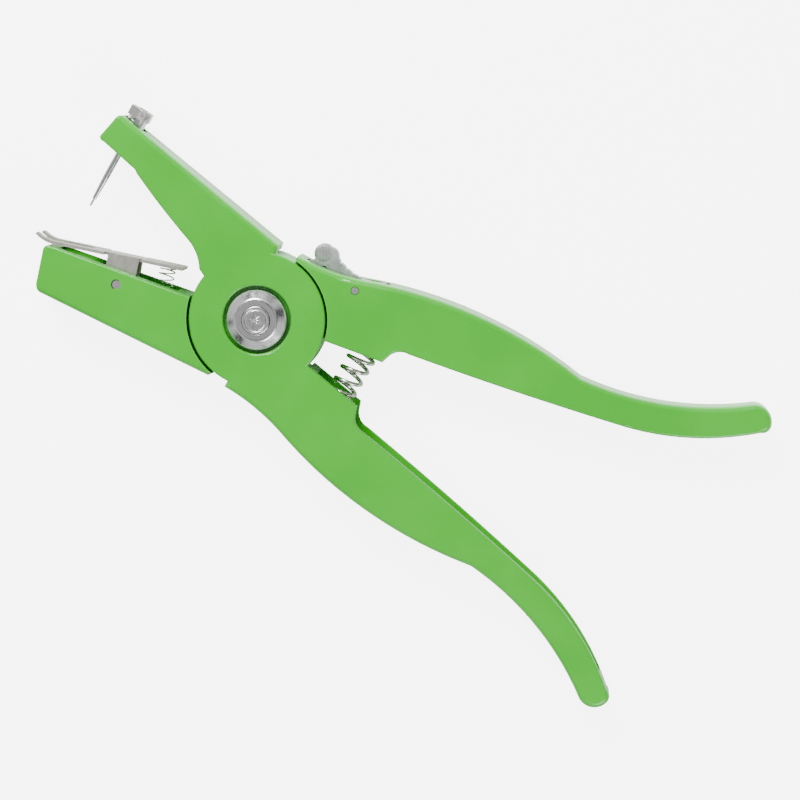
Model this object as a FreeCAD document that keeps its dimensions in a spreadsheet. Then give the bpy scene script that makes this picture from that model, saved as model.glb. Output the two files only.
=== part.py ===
"""Ear tag applicator: two crossing cast levers with a spring clip, a needle and a lock latch.

Frame, in millimetres: the origin lies on the main pivot axis, in the plane of the back faces,
so the tool rests on z = 0. +Z is the pivot axis, +X runs from the pivot to the handles along
the centre line, and +Y is the side of the upper jaw. Angles are counted about +Z.
The levers stand open here. The upper jaw lever turns by +20 degrees when the tool is closed.
"""
import FreeCAD
import Part
import PartDesign
import Sketcher
import math
import os
import re

V = FreeCAD.Vector
Z_UP = V(0, 0, 1)

# Driving dimensions: (alias, value, meaning). Lengths in mm, angles in degrees.
SIZES = [
    # Body and hub
    ("body_width", 20.0, "thickness of both levers along the pivot axis, at the hub"),
    ("lap_gap", 0.2, "clearance between the two hub discs, face to face"),
    ("hub_radius", 24.0, "radius of each hub disc"),
    ("rim_gap", 0.8, "gap round a hub disc to the other lever"),
    ("rim_round", 0.8, "rounding of the front edge of a hub disc"),
    ("edge_round", 2.0, "rounding of the outer edges of the levers"),
    ("inner_round", 0.9, "rounding of the edges beside the channels"),
    ("cap_bore", 11.8, "radius of the counterbore round each pivot washer"),
    ("cap_depth", 2.8, "depth of that counterbore"),
    ("cap_bore_round", 1.0, "softened edge of that counterbore"),
    # Pivot
    ("rivet_radius", 4.5, "radius of the pivot rivet"),
    ("bush_wall", 1.0, "wall of the steel bush that the levers turn on"),
    ("fit", 0.05, "radial clearance of a running or sliding fit"),
    ("washer_radius", 10.6, "outer radius of a pivot washer"),
    ("washer_rim", 2.0, "thickness of the front pivot washer at its rim"),
    ("washer_height", 5.8, "height of the front pivot washer at its flat land"),
    ("washer_land", 7.4, "radius where the cone of a pivot washer meets its flat land"),
    ("rear_rim", 0.9, "thickness of the rear pivot washer at its rim"),
    ("rear_height", 2.5, "height of the rear pivot washer, which stays below the back face"),
    ("rivet_lip", 0.35, "how far the formed ends of the rivet spread over the washers"),
    ("rivet_stand", 0.15, "height of the formed rivet ends above the washer land"),
    # Handles: outer edge, end and inner edge, mirrored between the levers
    ("heel_x", 1.5, "x of the heel where a handle leaves its hub disc"),
    ("heel_step", 2.4, "height of that heel over the hub radius"),
    ("neck_via_x", 14.0, "outer edge, middle of the hollow behind the heel"),
    ("neck_via_y", 27.5, "its height"),
    ("neck_x", 26.0, "outer edge, end of the hollow behind the heel"),
    ("neck_y", 30.5, "its height"),
    ("crest_x", 70.0, "outer edge, crest of the palm swell"),
    ("crest_y", 40.0, "its height"),
    ("saddle_x", 108.0, "outer edge, end of the palm swell"),
    ("saddle_y", 38.4, "its height"),
    ("flare_via_x", 138.0, "outer edge, middle of the flared end"),
    ("flare_via_y", 45.4, "its height"),
    ("flare_x", 164.5, "outer edge, start of the end cap"),
    ("flare_y", 60.3, "its height"),
    ("end_x", 174.0, "tip of the handle"),
    ("end_y", 56.8, "its height"),
    ("end_round", 3.4, "rounding of the outer corner of the end cap"),
    ("end_in_x", 171.6, "inner edge, start at the end cap"),
    ("end_in_y", 52.9, "its height"),
    ("bend_via_x", 155.0, "inner edge, middle of the flared end"),
    ("bend_via_y", 41.2, "its height"),
    ("bend_x", 130.0, "inner edge, start of the flared end"),
    ("bend_y", 31.4, "its height"),
    ("belly_via_x", 92.0, "inner edge, middle of the long run"),
    ("belly_via_y", 23.3, "its height"),
    ("belly_x", 52.0, "inner edge, start of the long run"),
    ("belly_y", 15.9, "its height"),
    ("stop_via_x", 48.0, "inner edge, hollow of the finger stop"),
    ("stop_via_y", 14.4, "its height"),
    ("stop_x", 46.3, "inner edge, front of the finger stop"),
    ("stop_y", 11.6, "its height"),
    ("block_x", 45.4, "corner of the spring block"),
    ("block_y", 8.9, "its height"),
    ("root_angle", 12.4, "angle where the inner edge of a handle meets its hub disc"),
    ("grip_start", 46.0, "x where the handles begin to narrow"),
    ("grip_width", 12.5, "thickness of the handles at their ends"),
    # Handle channels
    ("wall", 2.4, "wall of the levers beside a channel"),
    ("floor_wall", 4.0, "wall between a channel and the outer edge"),
    ("channel_start", 51.0, "x where the channel of a handle begins"),
    ("channel_end", 166.0, "x where the channel of a handle ends"),
    ("channel_rise", 0.14, "slope of the channel floor behind the spring block"),
    ("channel_reach", 9.0, "how far a channel is cut beyond its open side"),
    ("seat_start", 27.5, "x where the spring pocket of the upper jaw lever begins"),
    # Upper jaw
    ("jaw_tip_x", 77.0, "distance of the upper jaw tip from the pivot"),
    ("jaw_tip_y", 38.6, "height of the top line at the tip"),
    ("jaw_heel_x", 6.3, "distance of the end of the top line from the pivot"),
    ("jaw_heel_step", 2.4, "height of the top line there over the hub radius"),
    ("nose_lean", 2.2, "how far the face of the tip leans out below"),
    ("nose_height", 10.2, "height of the face of the tip"),
    ("nose_round", 2.0, "rounding of the corners of the tip"),
    ("boss_x", 62.8, "distance of the step behind the needle boss"),
    ("boss_y", 24.2, "height of that step"),
    ("boss_step", 0.9, "height of the step itself"),
    ("throat_via_x", 47.0, "underside, middle of the long run"),
    ("throat_via_y", 16.9, "its height"),
    ("throat_x", 34.6, "underside, end of the long run"),
    ("throat_y", 12.2, "its height"),
    ("crotch_via_x", 29.6, "underside, middle of the turn to the hub"),
    ("crotch_via_y", 9.3, "its height"),
    ("crotch_gap", 2.73, "underside, distance of the end of the turn from the hub disc"),
    ("crotch_end", 168.56, "angle of that end about the pivot"),
    ("crotch_angle", 170.2, "angle where the underside meets the hub disc"),
    ("jaw_start", 28.0, "distance from the pivot where the jaws begin to narrow"),
    ("jaw_width", 16.0, "thickness of both jaws at their tips"),
    ("jaw_channel", 13.6, "inner width of the channel under the upper jaw"),
    ("jaw_channel_top", 4.5, "wall above the channel of the upper jaw"),
    ("hub_wall", 3.2, "wall between a jaw channel and the round recess of the hub"),
    ("jaw_channel_heel", 14.0, "distance of the inner end of that channel from the pivot"),
    ("jaw_channel_turn", 143.0, "angle of the middle of its round end"),
    ("jaw_channel_foot", 166.0, "angle where its round end meets the underside"),
    # Lower jaw
    ("anvil_tip_x", 77.2, "distance of the lower jaw tip from the pivot"),
    ("anvil_tip_y", 14.0, "depth of the top line at the tip"),
    ("anvil_root_y", 4.5, "depth of the top line at the hub"),
    ("anvil_lean", 4.1, "how far the face of the lower tip leans in below"),
    ("anvil_height", 16.3, "height of the face of the lower tip"),
    ("anvil_heel_x", 5.4, "distance of the heel of the lower jaw from the pivot"),
    ("anvil_heel_step", 1.8, "depth of that heel below the hub radius"),
    ("tray_width", 12.0, "inner width of the channel of the lower jaw"),
    ("tray_nose", 4.0, "wall in front of that channel"),
    ("tray_floor", 3.6, "wall under that channel"),
    ("seat_length", 21.0, "end of the clip spring seat behind the clip pin"),
    ("seat_ledge", 5.0, "length of the clip spring seat ahead of the spring"),
    ("seat_peg", 1.4, "radius of the peg that centres the clip spring"),
    ("seat_peg_tall", 2.0, "height of that peg"),
    # Needle and its screw
    ("needle_x", 71.4, "distance of the needle axis from the pivot"),
    ("needle_root", 1.3, "radius of the needle inside the boss"),
    ("needle_radius", 1.1, "radius of the needle below the jaw"),
    ("needle_collar", 1.0, "length of the thick root of the needle that shows below the jaw"),
    ("needle_waist", 0.75, "radius of the needle above its point"),
    ("needle_tip", 0.4, "radius of the needle point"),
    ("needle_end_y", 4.4, "height of the needle point"),
    ("needle_point", 2.6, "length of the thin point"),
    ("needle_taper", 9.0, "length of the taper above the point"),
    ("needle_head", 2.5, "radius of the needle head inside the jaw"),
    ("needle_head_tall", 2.5, "height of the needle head"),
    ("needle_seat", 3.0, "wall of the boss under the needle head"),
    ("screw_radius", 3.5, "radius of the threaded plug that holds the needle"),
    ("screw_stand", 2.0, "height of the plug above the jaw, under its hexagon"),
    ("hex_flats", 8.0, "width across flats of the hexagon"),
    ("hex_height", 3.5, "height of the hexagon"),
    ("hex_dish", 0.8, "depth of the dished top of the hexagon"),
    ("hex_dish_radius", 2.6, "radius of that dish"),
    ("spot_radius", 5.0, "radius of the counterbore round the screw"),
    ("spot_depth", 1.2, "depth of that counterbore"),
    # Tag clip
    ("clip_pin_x", 48.8, "distance of the clip pin from the pivot"),
    ("clip_pin_y", 14.0, "depth of the clip pin"),
    ("clip_pin_radius", 1.5, "radius of the clip pin"),
    ("clip_tilt", 18.0, "tilt of the clip plate to the centre line"),
    ("clip_lift", 9.2, "distance from the clip pin to the underside of the plate"),
    ("clip_front", 31.3, "length of the plate ahead of the clip pin"),
    ("clip_back", 21.4, "length of the plate behind the clip pin"),
    ("clip_width", 15.0, "width of the clip over its prongs"),
    ("clip_back_width", 13.0, "width of the clip behind its ears"),
    ("clip_sheet", 1.1, "thickness of the clip sheet"),
    ("prong_length", 20.0, "length of the slot between the prongs"),
    ("prong_gap", 7.0, "width of the slot between the prongs"),
    ("prong_curl", 7.0, "length of the turned-up prong tips"),
    ("prong_rise", 1.9, "height of the turned-up prong tips"),
    ("ear_length", 11.0, "length of the ears of the clip"),
    ("ear_spread", 11.4, "width over both ears of the clip"),
    ("ear_foot", 2.9, "radius of the ears round the clip pin"),
    ("waist_slit", 1.2, "relief slit at the ends of each ear fold"),
    # Clip spring
    ("clip_coil", 2.7, "mean radius of the clip spring"),
    ("clip_wire", 0.5, "wire of the clip spring"),
    ("clip_turns", 5.5, "turns of the clip spring"),
    ("clip_spring_u", 15.5, "distance of the clip spring behind the clip pin"),
    ("clip_spring_tall", 9.5, "length of the clip spring at rest"),
    # Return spring
    ("coil_radius", 4.5, "mean radius of the return spring"),
    ("coil_wire", 1.5, "wire of the return spring"),
    ("coil_turns", 8.5, "turns of the return spring"),
    ("coil_x", 38.4, "distance of the return spring from the pivot"),
    ("coil_top", 12.0, "height of the spring seat in the upper handle"),
    ("coil_foot", 15.0, "depth of the spring seat in the lower handle"),
    ("coil_gap", 0.4, "radial clearance of the spring in its seats"),
    ("end_gap", 0.05, "end clearance of a spring at its seats"),
    # Lock latch
    ("latch_x", 24.8, "distance of the latch pin from the pivot"),
    ("latch_y", 26.0, "height of the latch pin"),
    ("latch_pin", 1.2, "radius of the latch pin"),
    ("latch_width", 6.0, "thickness of the latch"),
    ("latch_mid", 10.2, "height of the middle of the latch along the pivot axis"),
    ("slot_side", 0.2, "clearance between the latch and its slot, each side"),
    ("knob_x", 10.8, "distance of the latch knob from the pivot"),
    ("knob_y", 31.2, "height of the latch knob"),
    ("knob_radius", 3.3, "radius of the latch knob"),
    ("latch_boss", 3.0, "radius of the latch round its pin"),
    ("hook_angle", 75.0, "angle of the latch hook about the main pivot"),
    ("hook_gap", 1.1, "distance of the resting hook from the hub disc"),
    ("lock_angle", 10.0, "angle by which the latch turns to lock the tool"),
    ("hook_width", 3.0, "width of the latch hook"),
    ("hook_tall", 2.8, "thickness of the latch hook along the pivot axis"),
    ("hook_bite", 2.4, "depth of the lock notches in the hub disc"),
    ("notch_half", 6.0, "half width of each lock notch, in degrees"),
    ("notch_roof", 0.3, "clearance over the hook in its notches"),
    ("close_angle", 20.0, "angle by which the tool closes"),
    ("tail_x", 33.0, "distance of the latch tail end from the pivot"),
    ("tail_y", 33.6, "height of the latch tail end"),
    ("tail_thick", 2.2, "thickness of the latch tail"),
    ("tail_teeth", 7.0, "number of thumb serrations on the tail"),
    ("tooth_radius", 0.45, "radius of each serration"),
    ("latch_coil", 1.5, "mean radius of the latch spring"),
    ("latch_wire", 0.4, "wire of the latch spring"),
    ("latch_turns", 4.5, "turns of the latch spring"),
    ("latch_spring_x", 18.2, "distance of the latch spring from the pivot"),
    ("slot_start", 4.5, "x where the latch slot begins"),
    ("slot_floor", 20.4, "height of the floor of the latch slot"),
    ("slot_skin", 0.5, "wall between the latch slot and the recess of the hub"),
]

doc = FreeCAD.newDocument("ear_tag_applicator")
sheet = doc.addObject("Spreadsheet::Sheet", "Sizes")
for row, (alias, number, meaning) in enumerate(SIZES, start=1):
    sheet.set("A%d" % row, "'" + alias)
    sheet.set("B%d" % row, str(number))
    sheet.set("C%d" % row, "'" + meaning)
    sheet.setAlias("B%d" % row, alias)
doc.recompute()
ALIASES = {alias for alias, number, meaning in SIZES}


def bind(text):
    """Expression on the sheet: each size name in the text gets the sheet's prefix."""
    return re.sub(r"[a-z][a-z_]*", lambda word: "Sizes." + word.group(0)
                  if word.group(0) in ALIASES else word.group(0), text)


def size(text):
    """Number that an expression on the sheet gives now."""
    answer = sheet.evalExpression(bind(text))
    return float(getattr(answer, "Value", answer))


def new_body(name, label=None):
    """PartDesign body; only the kept pieces are given a label of their own."""
    body = doc.addObject("PartDesign::Body", name)
    body.Label = label or name
    return body


def new_sketch(body, plane, offset="0"):
    """Sketch on one of the body's own origin planes, lifted along that plane's normal."""
    sketch = body.newObject("Sketcher::SketchObject", body.Name + "_sketch")
    support = [face for face in body.Origin.OriginFeatures if face.Role == plane][0]
    sketch.AttachmentSupport = [(support, "")]
    sketch.MapMode = "FlatFace"
    sketch.setExpression("AttachmentOffset.Base.z", bind(offset))
    return sketch


def hold(sketch, kind, geometry, position, text):
    """Dimension from the sketch origin to a point, bound to the sheet."""
    index = sketch.addConstraint(Sketcher.Constraint(kind, -1, 1, geometry, position, size(text)))
    sketch.setExpression("Constraints[%d]" % index, bind(text))


def circumcentre(one, two, three):
    """Centre of the circle through three points of a plane."""
    scale = 2 * ((two - one).x * (three - one).y - (two - one).y * (three - one).x)
    b_len = (two - one).dot(two - one)
    c_len = (three - one).dot(three - one)
    dx = ((three - one).y * b_len - (two - one).y * c_len) / scale
    dy = ((two - one).x * c_len - (three - one).x * b_len) / scale
    return one + V(dx, dy, 0)


def draw_loop(sketch, start, moves):
    """Closed outline: a start point, then lines (x, y) or arcs (via_x, via_y, x, y) in turn.

    Every coordinate is an expression on the sheet; the last move returns to the start.
    """
    here = start
    ends = []
    for move in moves:
        there = move[-2:]
        p_one = V(size(here[0]), size(here[1]), 0)
        p_two = V(size(there[0]), size(there[1]), 0)
        if len(move) == 2:
            line = sketch.addGeometry(Part.LineSegment(p_one, p_two), False)
            ends.append((line, 1, 2, here))
        else:
            via = V(size(move[0]), size(move[1]), 0)
            centre = circumcentre(p_one, via, p_two)
            circle = Part.Circle(centre, Z_UP, (p_one - centre).Length)
            turn = (via - p_one).cross(p_two - via).z
            first, last = (p_one, p_two) if turn > 0 else (p_two, p_one)
            low = math.atan2(first.y - centre.y, first.x - centre.x)
            high = math.atan2(last.y - centre.y, last.x - centre.x)
            if high <= low:
                high += 2 * math.pi
            arc = sketch.addGeometry(Part.ArcOfCircle(circle, low, high), False)
            ends.append((arc, 1, 2, here) if turn > 0 else (arc, 2, 1, here))
            mark = sketch.addGeometry(Part.Point(via), True)
            hold(sketch, "DistanceX", mark, 1, move[0])
            hold(sketch, "DistanceY", mark, 1, move[1])
            sketch.addConstraint(Sketcher.Constraint("PointOnObject", mark, 1, arc))
        here = there
    for number, (geometry, first, last, corner) in enumerate(ends):
        before = ends[number - 1]
        sketch.addConstraint(Sketcher.Constraint("Coincident", before[0], before[2], geometry, first))
        hold(sketch, "DistanceX", geometry, first, corner[0])
        hold(sketch, "DistanceY", geometry, first, corner[1])
    doc.recompute()


def draw_circle(sketch, x, y, radius):
    """Circle whose centre and radius are bound to the sheet."""
    centre = V(size(x), size(y), 0)
    circle = sketch.addGeometry(Part.Circle(centre, Z_UP, size(radius)), False)
    hold(sketch, "DistanceX", circle, 3, x)
    hold(sketch, "DistanceY", circle, 3, y)
    index = sketch.addConstraint(Sketcher.Constraint("Radius", circle, size(radius)))
    sketch.setExpression("Constraints[%d]" % index, bind(radius))
    doc.recompute()


def pad(body, sketch, length, symmetric=False):
    """Pad a sketch along its normal, or half to each side of its plane."""
    feature = body.newObject("PartDesign::Pad", body.Name + "_pad")
    feature.Profile = sketch
    if symmetric:
        feature.SideType = "Symmetric"
    feature.setExpression("Length", bind(length))
    doc.recompute()
    return feature


def revolve(body, sketch, axis="V_Axis"):
    """Turn a sketch a full round about one of its own axes."""
    feature = body.newObject("PartDesign::Revolution", body.Name + "_turned")
    feature.Profile = sketch
    feature.ReferenceAxis = (sketch, [axis])
    feature.Angle = 360.0
    doc.recompute()
    return feature


def prism(name, start, moves, low, high):
    """Body between two heights along the pivot axis, from an outline in plan."""
    body = new_body(name)
    sketch = new_sketch(body, "XY_Plane", low)
    draw_loop(sketch, start, moves)
    pad(body, sketch, "(%s) - (%s)" % (high, low))
    return body


def drum(name, x, y, radius, low, high):
    """Round body along the pivot axis between two heights."""
    body = new_body(name)
    sketch = new_sketch(body, "XY_Plane", low)
    draw_circle(sketch, x, y, radius)
    pad(body, sketch, "(%s) - (%s)" % (high, low))
    return body


def turned(name, start, moves, label=None):
    """Body of revolution about Z from a half profile drawn as (radius, height)."""
    body = new_body(name, label)
    sketch = new_sketch(body, "XZ_Plane")
    draw_loop(sketch, start, moves)
    revolve(body, sketch)
    return body


def counterbore(name, face, inward):
    """Cutter for a washer's counterbore with a softened lip; inward is 1 or -1 along the axis."""
    def at(depth):
        return "(%s) + %d * (%s)" % (face, inward, depth)
    body = new_body(name)
    sketch = new_sketch(body, "XZ_Plane")
    draw_loop(sketch, ("0", at("cap_depth")), [
        ("cap_bore", at("cap_depth")),
        ("cap_bore", at("cap_bore_round")),
        ("cap_bore + cap_bore_round * (1 - sqrt(1 / 2))", at("cap_bore_round * (1 - sqrt(1 / 2))"),
         "cap_bore + cap_bore_round", at("0")),
        ("cap_bore + cap_bore_round", at("-1")),
        ("0", at("-1")),
        ("0", at("cap_depth")),
    ])
    revolve(body, sketch)
    return body


def join(name, pieces, label=None):
    """Union of several pieces."""
    feature = doc.addObject("Part::MultiFuse", name)
    feature.Shapes = pieces
    feature.Label = label or name
    feature.Refine = True
    doc.recompute()
    return feature


def cut(name, base, tools, label=None):
    """A piece with the union of several tools taken away."""
    tool = tools[0] if len(tools) == 1 else join(name + "_tools", tools)
    feature = doc.addObject("Part::Cut", name)
    feature.Base = base
    feature.Tool = tool
    feature.Label = label or name
    feature.Refine = True
    doc.recompute()
    return feature


def common(name, one, two):
    """Space that two pieces share."""
    feature = doc.addObject("Part::Common", name)
    feature.Base = one
    feature.Tool = two
    feature.Refine = True
    doc.recompute()
    return feature


def place(feature, x, y, z, axis=None, angle=0.0):
    """Placement of a finished piece: position bound to the sheet, turn about one axis."""
    if axis is not None:
        feature.Placement = FreeCAD.Placement(V(0, 0, 0), FreeCAD.Rotation(axis, angle))
    feature.setExpression("Placement.Base.x", bind(x))
    feature.setExpression("Placement.Base.y", bind(y))
    feature.setExpression("Placement.Base.z", bind(z))
    doc.recompute()
    return feature


# Heights along the pivot axis that several pieces share.
MID = "body_width / 2"
FRONT_DISC = "body_width / 2 + lap_gap / 2"
REAR_DISC = "body_width / 2 - lap_gap / 2"
RECESS = "hub_radius + rim_gap"
HEEL_Y = "(hub_radius + heel_step)"
JAW_HEEL_Y = "(hub_radius + jaw_heel_step)"
ANVIL_HEEL_Y = "(hub_radius + anvil_heel_step)"


def on_hub(angle):
    """Point of the hub disc's rim at an angle, as expressions."""
    return "hub_radius * cos(%s)" % angle, "hub_radius * sin(%s)" % angle


def handle_moves(side):
    """Outline of a handle from its heel round to its root; side is 1 above and -1 below."""
    points = [
        ("heel_x", HEEL_Y),
        ("neck_via_x", "neck_via_y", "neck_x", "neck_y"),
        ("crest_x", "crest_y", "saddle_x", "saddle_y"),
        ("flare_via_x", "flare_via_y", "flare_x", "flare_y"),
        ("end_x - end_round * 0.9", "end_y + end_round * 1.15", "end_x", "end_y"),
        ("end_x - 0.35", "(end_y + end_in_y) / 2 - 0.45", "end_in_x", "end_in_y"),
        ("bend_via_x", "bend_via_y", "bend_x", "bend_y"),
        ("belly_via_x", "belly_via_y", "belly_x", "belly_y"),
        ("stop_via_x", "stop_via_y", "stop_x", "stop_y"),
        ("block_x", "block_y"),
        on_hub("root_angle"),
    ]
    flipped = []
    for point in points:
        flipped.append(tuple("(%s) * %d" % (text, side) if index % 2 else text
                             for index, text in enumerate(point)))
    return flipped


def heel_on_hub(side):
    """Point where a handle's heel stands on its hub disc."""
    return "heel_x", "sqrt(hub_radius ^ 2 - heel_x ^ 2) * %d" % side


UPPER_JAW = [
    # Round the front of the hub, up the heel, along the top line to the tip
    (*on_hub("45"), "-jaw_heel_x + 0.6", "sqrt(hub_radius ^ 2 - (jaw_heel_x - 0.6) ^ 2)"),
    ("-jaw_heel_x", JAW_HEEL_Y),
    ("-jaw_tip_x + nose_round", "jaw_tip_y - nose_round * 0.17"),
    ("-jaw_tip_x + nose_round * 0.25", "jaw_tip_y - nose_round * 0.3",
     "-jaw_tip_x - nose_lean * 0.2", "jaw_tip_y - nose_round"),
    # Face of the tip, then back along the underside
    ("-jaw_tip_x - nose_lean", "jaw_tip_y - nose_height"),
    ("-jaw_tip_x - nose_lean + nose_round * 0.25", "jaw_tip_y - nose_height - nose_round * 0.45",
     "-jaw_tip_x - nose_lean + nose_round", "jaw_tip_y - nose_height - nose_round * 0.6"),
    ("-boss_x", "boss_y"),
    ("-boss_x + 1.2", "boss_y - boss_step"),
    ("-throat_via_x", "throat_via_y", "-throat_x", "throat_y"),
    ("-crotch_via_x", "crotch_via_y",
     "(hub_radius + crotch_gap) * cos(crotch_end)", "(hub_radius + crotch_gap) * sin(crotch_end)"),
    on_hub("crotch_angle"),
    (*on_hub("220"), *heel_on_hub(-1)),
]
TRAY_TOP = "(anvil_tip_y - anvil_root_y) / (anvil_tip_x - sqrt(hub_radius ^ 2 - anvil_root_y ^ 2))"
LOWER_JAW = [
    (*on_hub("-45"), "-anvil_heel_x + 1.6", "-sqrt(hub_radius ^ 2 - (anvil_heel_x - 1.6) ^ 2)"),
    ("-anvil_heel_x", "-" + ANVIL_HEEL_Y),
    ("-anvil_tip_x + anvil_lean + nose_round", "-anvil_tip_y - anvil_height"),
    ("-anvil_tip_x + anvil_lean + nose_round * 0.1", "-anvil_tip_y - anvil_height + nose_round * 0.4",
     "-anvil_tip_x + anvil_lean - nose_round * 0.5", "-anvil_tip_y - anvil_height + nose_round * 1.4"),
    ("-anvil_tip_x - 0.5", "-anvil_tip_y - nose_round"),
    ("-anvil_tip_x - 0.1", "-anvil_tip_y - nose_round * 0.4",
     "-anvil_tip_x + nose_round", "-anvil_tip_y + nose_round * %s" % TRAY_TOP),
    ("-sqrt(hub_radius ^ 2 - anvil_root_y ^ 2)", "-anvil_root_y"),
    (*on_hub("140"), *heel_on_hub(1)),
]


def plan_and_width(name, side, jaw_moves, tip_x):
    """Outer form of a lever: its outline in plan, narrowed towards the jaw and handle ends."""
    plan = prism(name + "_plan", heel_on_hub(side), handle_moves(side) + jaw_moves,
                 "0", "body_width")
    width = new_body(name + "_width")
    sketch = new_sketch(width, "XZ_Plane")
    jaw_in = "(body_width - jaw_width) / 2"
    grip_in = "(body_width - grip_width) / 2"
    draw_loop(sketch, ("-jaw_start", "0"), [
        ("grip_start", "0"),
        ("end_x + 1", grip_in),
        ("end_x + 1", "body_width - " + grip_in),
        ("grip_start", "body_width"),
        ("-jaw_start", "body_width"),
        ("-%s - 4" % tip_x, "body_width - " + jaw_in),
        ("-%s - 4" % tip_x, jaw_in),
        ("-jaw_start", "0"),
    ])
    pad(width, sketch, "3 * (flare_y + end_y)", symmetric=True)
    return common(name + "_form", plan, width)


def is_side(face):
    """Whether a face of a lever form stands upright, parallel to the pivot axis."""
    low_u, high_u, low_v, high_v = face.ParameterRange
    return abs(face.normalAt((low_u + high_u) / 2, (low_v + high_v) / 2).z) < 0.01


def soften(name, base, side):
    """Round the long edges of a lever form; side is 1 when its handle is the upper one."""
    rounds = []
    shape = base.Shape
    for number, edge in enumerate(shape.Edges, start=1):
        faces = shape.ancestorsOfType(edge, Part.Face)
        walls = [face for face in faces if is_side(face)]
        if len(walls) != 1:
            continue
        middle = edge.valueAt((edge.FirstParameter + edge.LastParameter) / 2)
        reach = math.hypot(middle.x, middle.y)
        if reach < size("hub_radius") + 0.01:
            if (middle.z > size(MID)) == (side < 0):
                rounds.append((number, size("rim_round"), size("rim_round")))
            continue
        radius = size("edge_round") if is_outer(middle, side) else size("inner_round")
        rounds.append((number, radius, radius))
    feature = doc.addObject("Part::Fillet", name)
    feature.Base = base
    feature.Edges = rounds
    doc.recompute()
    return feature


def is_outer(point, side):
    """Whether a point of a lever's edge lies on its outer side, away from the other lever."""
    if point.x > 0:
        line = size("belly_y") + (point.x - size("belly_x")) * 0.22
        return point.y * side > line + 4 or point.x > size("end_in_x")
    return point.y * side < -0.36 * abs(point.x) - 6


def narrowed(name, plan):
    """Part of a plan prism that keeps the channel wall to the narrowed sides of a lever."""
    width = new_body(name + "_width")
    sketch = new_sketch(width, "XZ_Plane")
    grip_in = "(body_width - grip_width) / 2 + wall"
    draw_loop(sketch, ("-anvil_tip_x", "wall"), [
        ("grip_start", "wall"),
        ("end_x + 1", grip_in),
        ("end_x + 1", "body_width - (%s)" % grip_in),
        ("grip_start", "body_width - wall"),
        ("-anvil_tip_x", "body_width - wall"),
        ("-anvil_tip_x", "wall"),
    ])
    pad(width, sketch, "3 * (flare_y + end_y)", symmetric=True)
    return common(name, plan, width)


def handle_channel(name, side, seat):
    """Channel of a handle, open to the other handle, with a shallow start over the spring."""
    def up(text):
        return "(%s) * %d" % (text, side)
    start = "seat_start"
    plan = prism(name + "_plan", (start, "0"), [
        (start, up(seat)),
        ("stop_x", up(seat)),
        ("channel_start", up("crest_y - floor_wall - (crest_x - channel_start) * channel_rise")),
        ("crest_x", up("crest_y - floor_wall"), "saddle_x", up("saddle_y - floor_wall")),
        ("flare_via_x + floor_wall * 0.45", up("flare_via_y - floor_wall * 0.85"),
         "channel_end", up("end_y - floor_wall * 0.8")),
        ("channel_end + 1", up("bend_y")),
        ("bend_x", up("bend_y - channel_reach")),
        ("belly_x", "0"),
        (start, "0"),
    ], "0", "body_width")
    return narrowed(name, plan)


def along_y(name, x, radius, low, high, z=MID, label=None):
    """Round body along Y between two heights, at a distance x from the pivot."""
    body = new_body(name, label)
    sketch = new_sketch(body, "XZ_Plane", "-(%s)" % low)
    draw_circle(sketch, x, z, radius)
    feature = pad(body, sketch, "(%s) - (%s)" % (high, low))
    feature.Reversed = True
    doc.recompute()
    return body


def engaged_hook():
    """Centre of the latch hook when the latch locks, as expressions."""
    rest_x = "(hub_radius + hook_gap + hook_width / 2) * cos(hook_angle)"
    rest_y = "(hub_radius + hook_gap + hook_width / 2) * sin(hook_angle)"
    turned_x = ("latch_x + (%s - latch_x) * cos(lock_angle) - (%s - latch_y) * sin(lock_angle)"
                % (rest_x, rest_y))
    turned_y = ("latch_y + (%s - latch_x) * sin(lock_angle) + (%s - latch_y) * cos(lock_angle)"
                % (rest_x, rest_y))
    return turned_x, turned_y


def lock_notch(name, turn):
    """Notch in the rim of a hub disc for the latch hook, turned back by an angle."""
    hook_x, hook_y = engaged_hook()
    middle = "(atan2(%s; %s) / 1 deg - (%s))" % (hook_y, hook_x, turn)
    deep = "(hub_radius - hook_bite)"
    wide = "(hub_radius + rim_gap)"

    def rim(radius, angle):
        return "%s * cos(%s)" % (radius, angle), "%s * sin(%s)" % (radius, angle)
    return prism(name, rim(deep, middle + " - notch_half"), [
        rim(wide, middle + " - notch_half"),
        rim(wide, middle + " + notch_half"),
        rim(deep, middle + " + notch_half"),
        rim(deep, middle + " - notch_half"),
    ], MID, FRONT_DISC + " + hook_tall + 2 * notch_roof")


def on_clip(u, v):
    """Point given along and across the clip plate from the clip pin, as expressions."""
    return ("-clip_pin_x + (%s) * cos(clip_tilt) - (%s) * sin(clip_tilt)" % (u, v),
            "-clip_pin_y + (%s) * sin(clip_tilt) + (%s) * cos(clip_tilt)" % (u, v))


# Upper jaw lever: upper jaw, front hub disc and lower handle.
JAW_LINE = "(jaw_tip_y - %s) / (jaw_tip_x - jaw_heel_x)" % JAW_HEEL_Y
SPOT_Y = "jaw_tip_y - (jaw_tip_x - needle_x) * %s - spot_depth" % JAW_LINE
UNDER_Y = ("jaw_tip_y - nose_height - (jaw_tip_y - nose_height - boss_y)"
           " * (jaw_tip_x + nose_lean - needle_x) / (jaw_tip_x + nose_lean - boss_x)")
HEAD_Y = UNDER_Y + " + needle_seat"
NEEDLE_X = "-needle_x"

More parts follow.
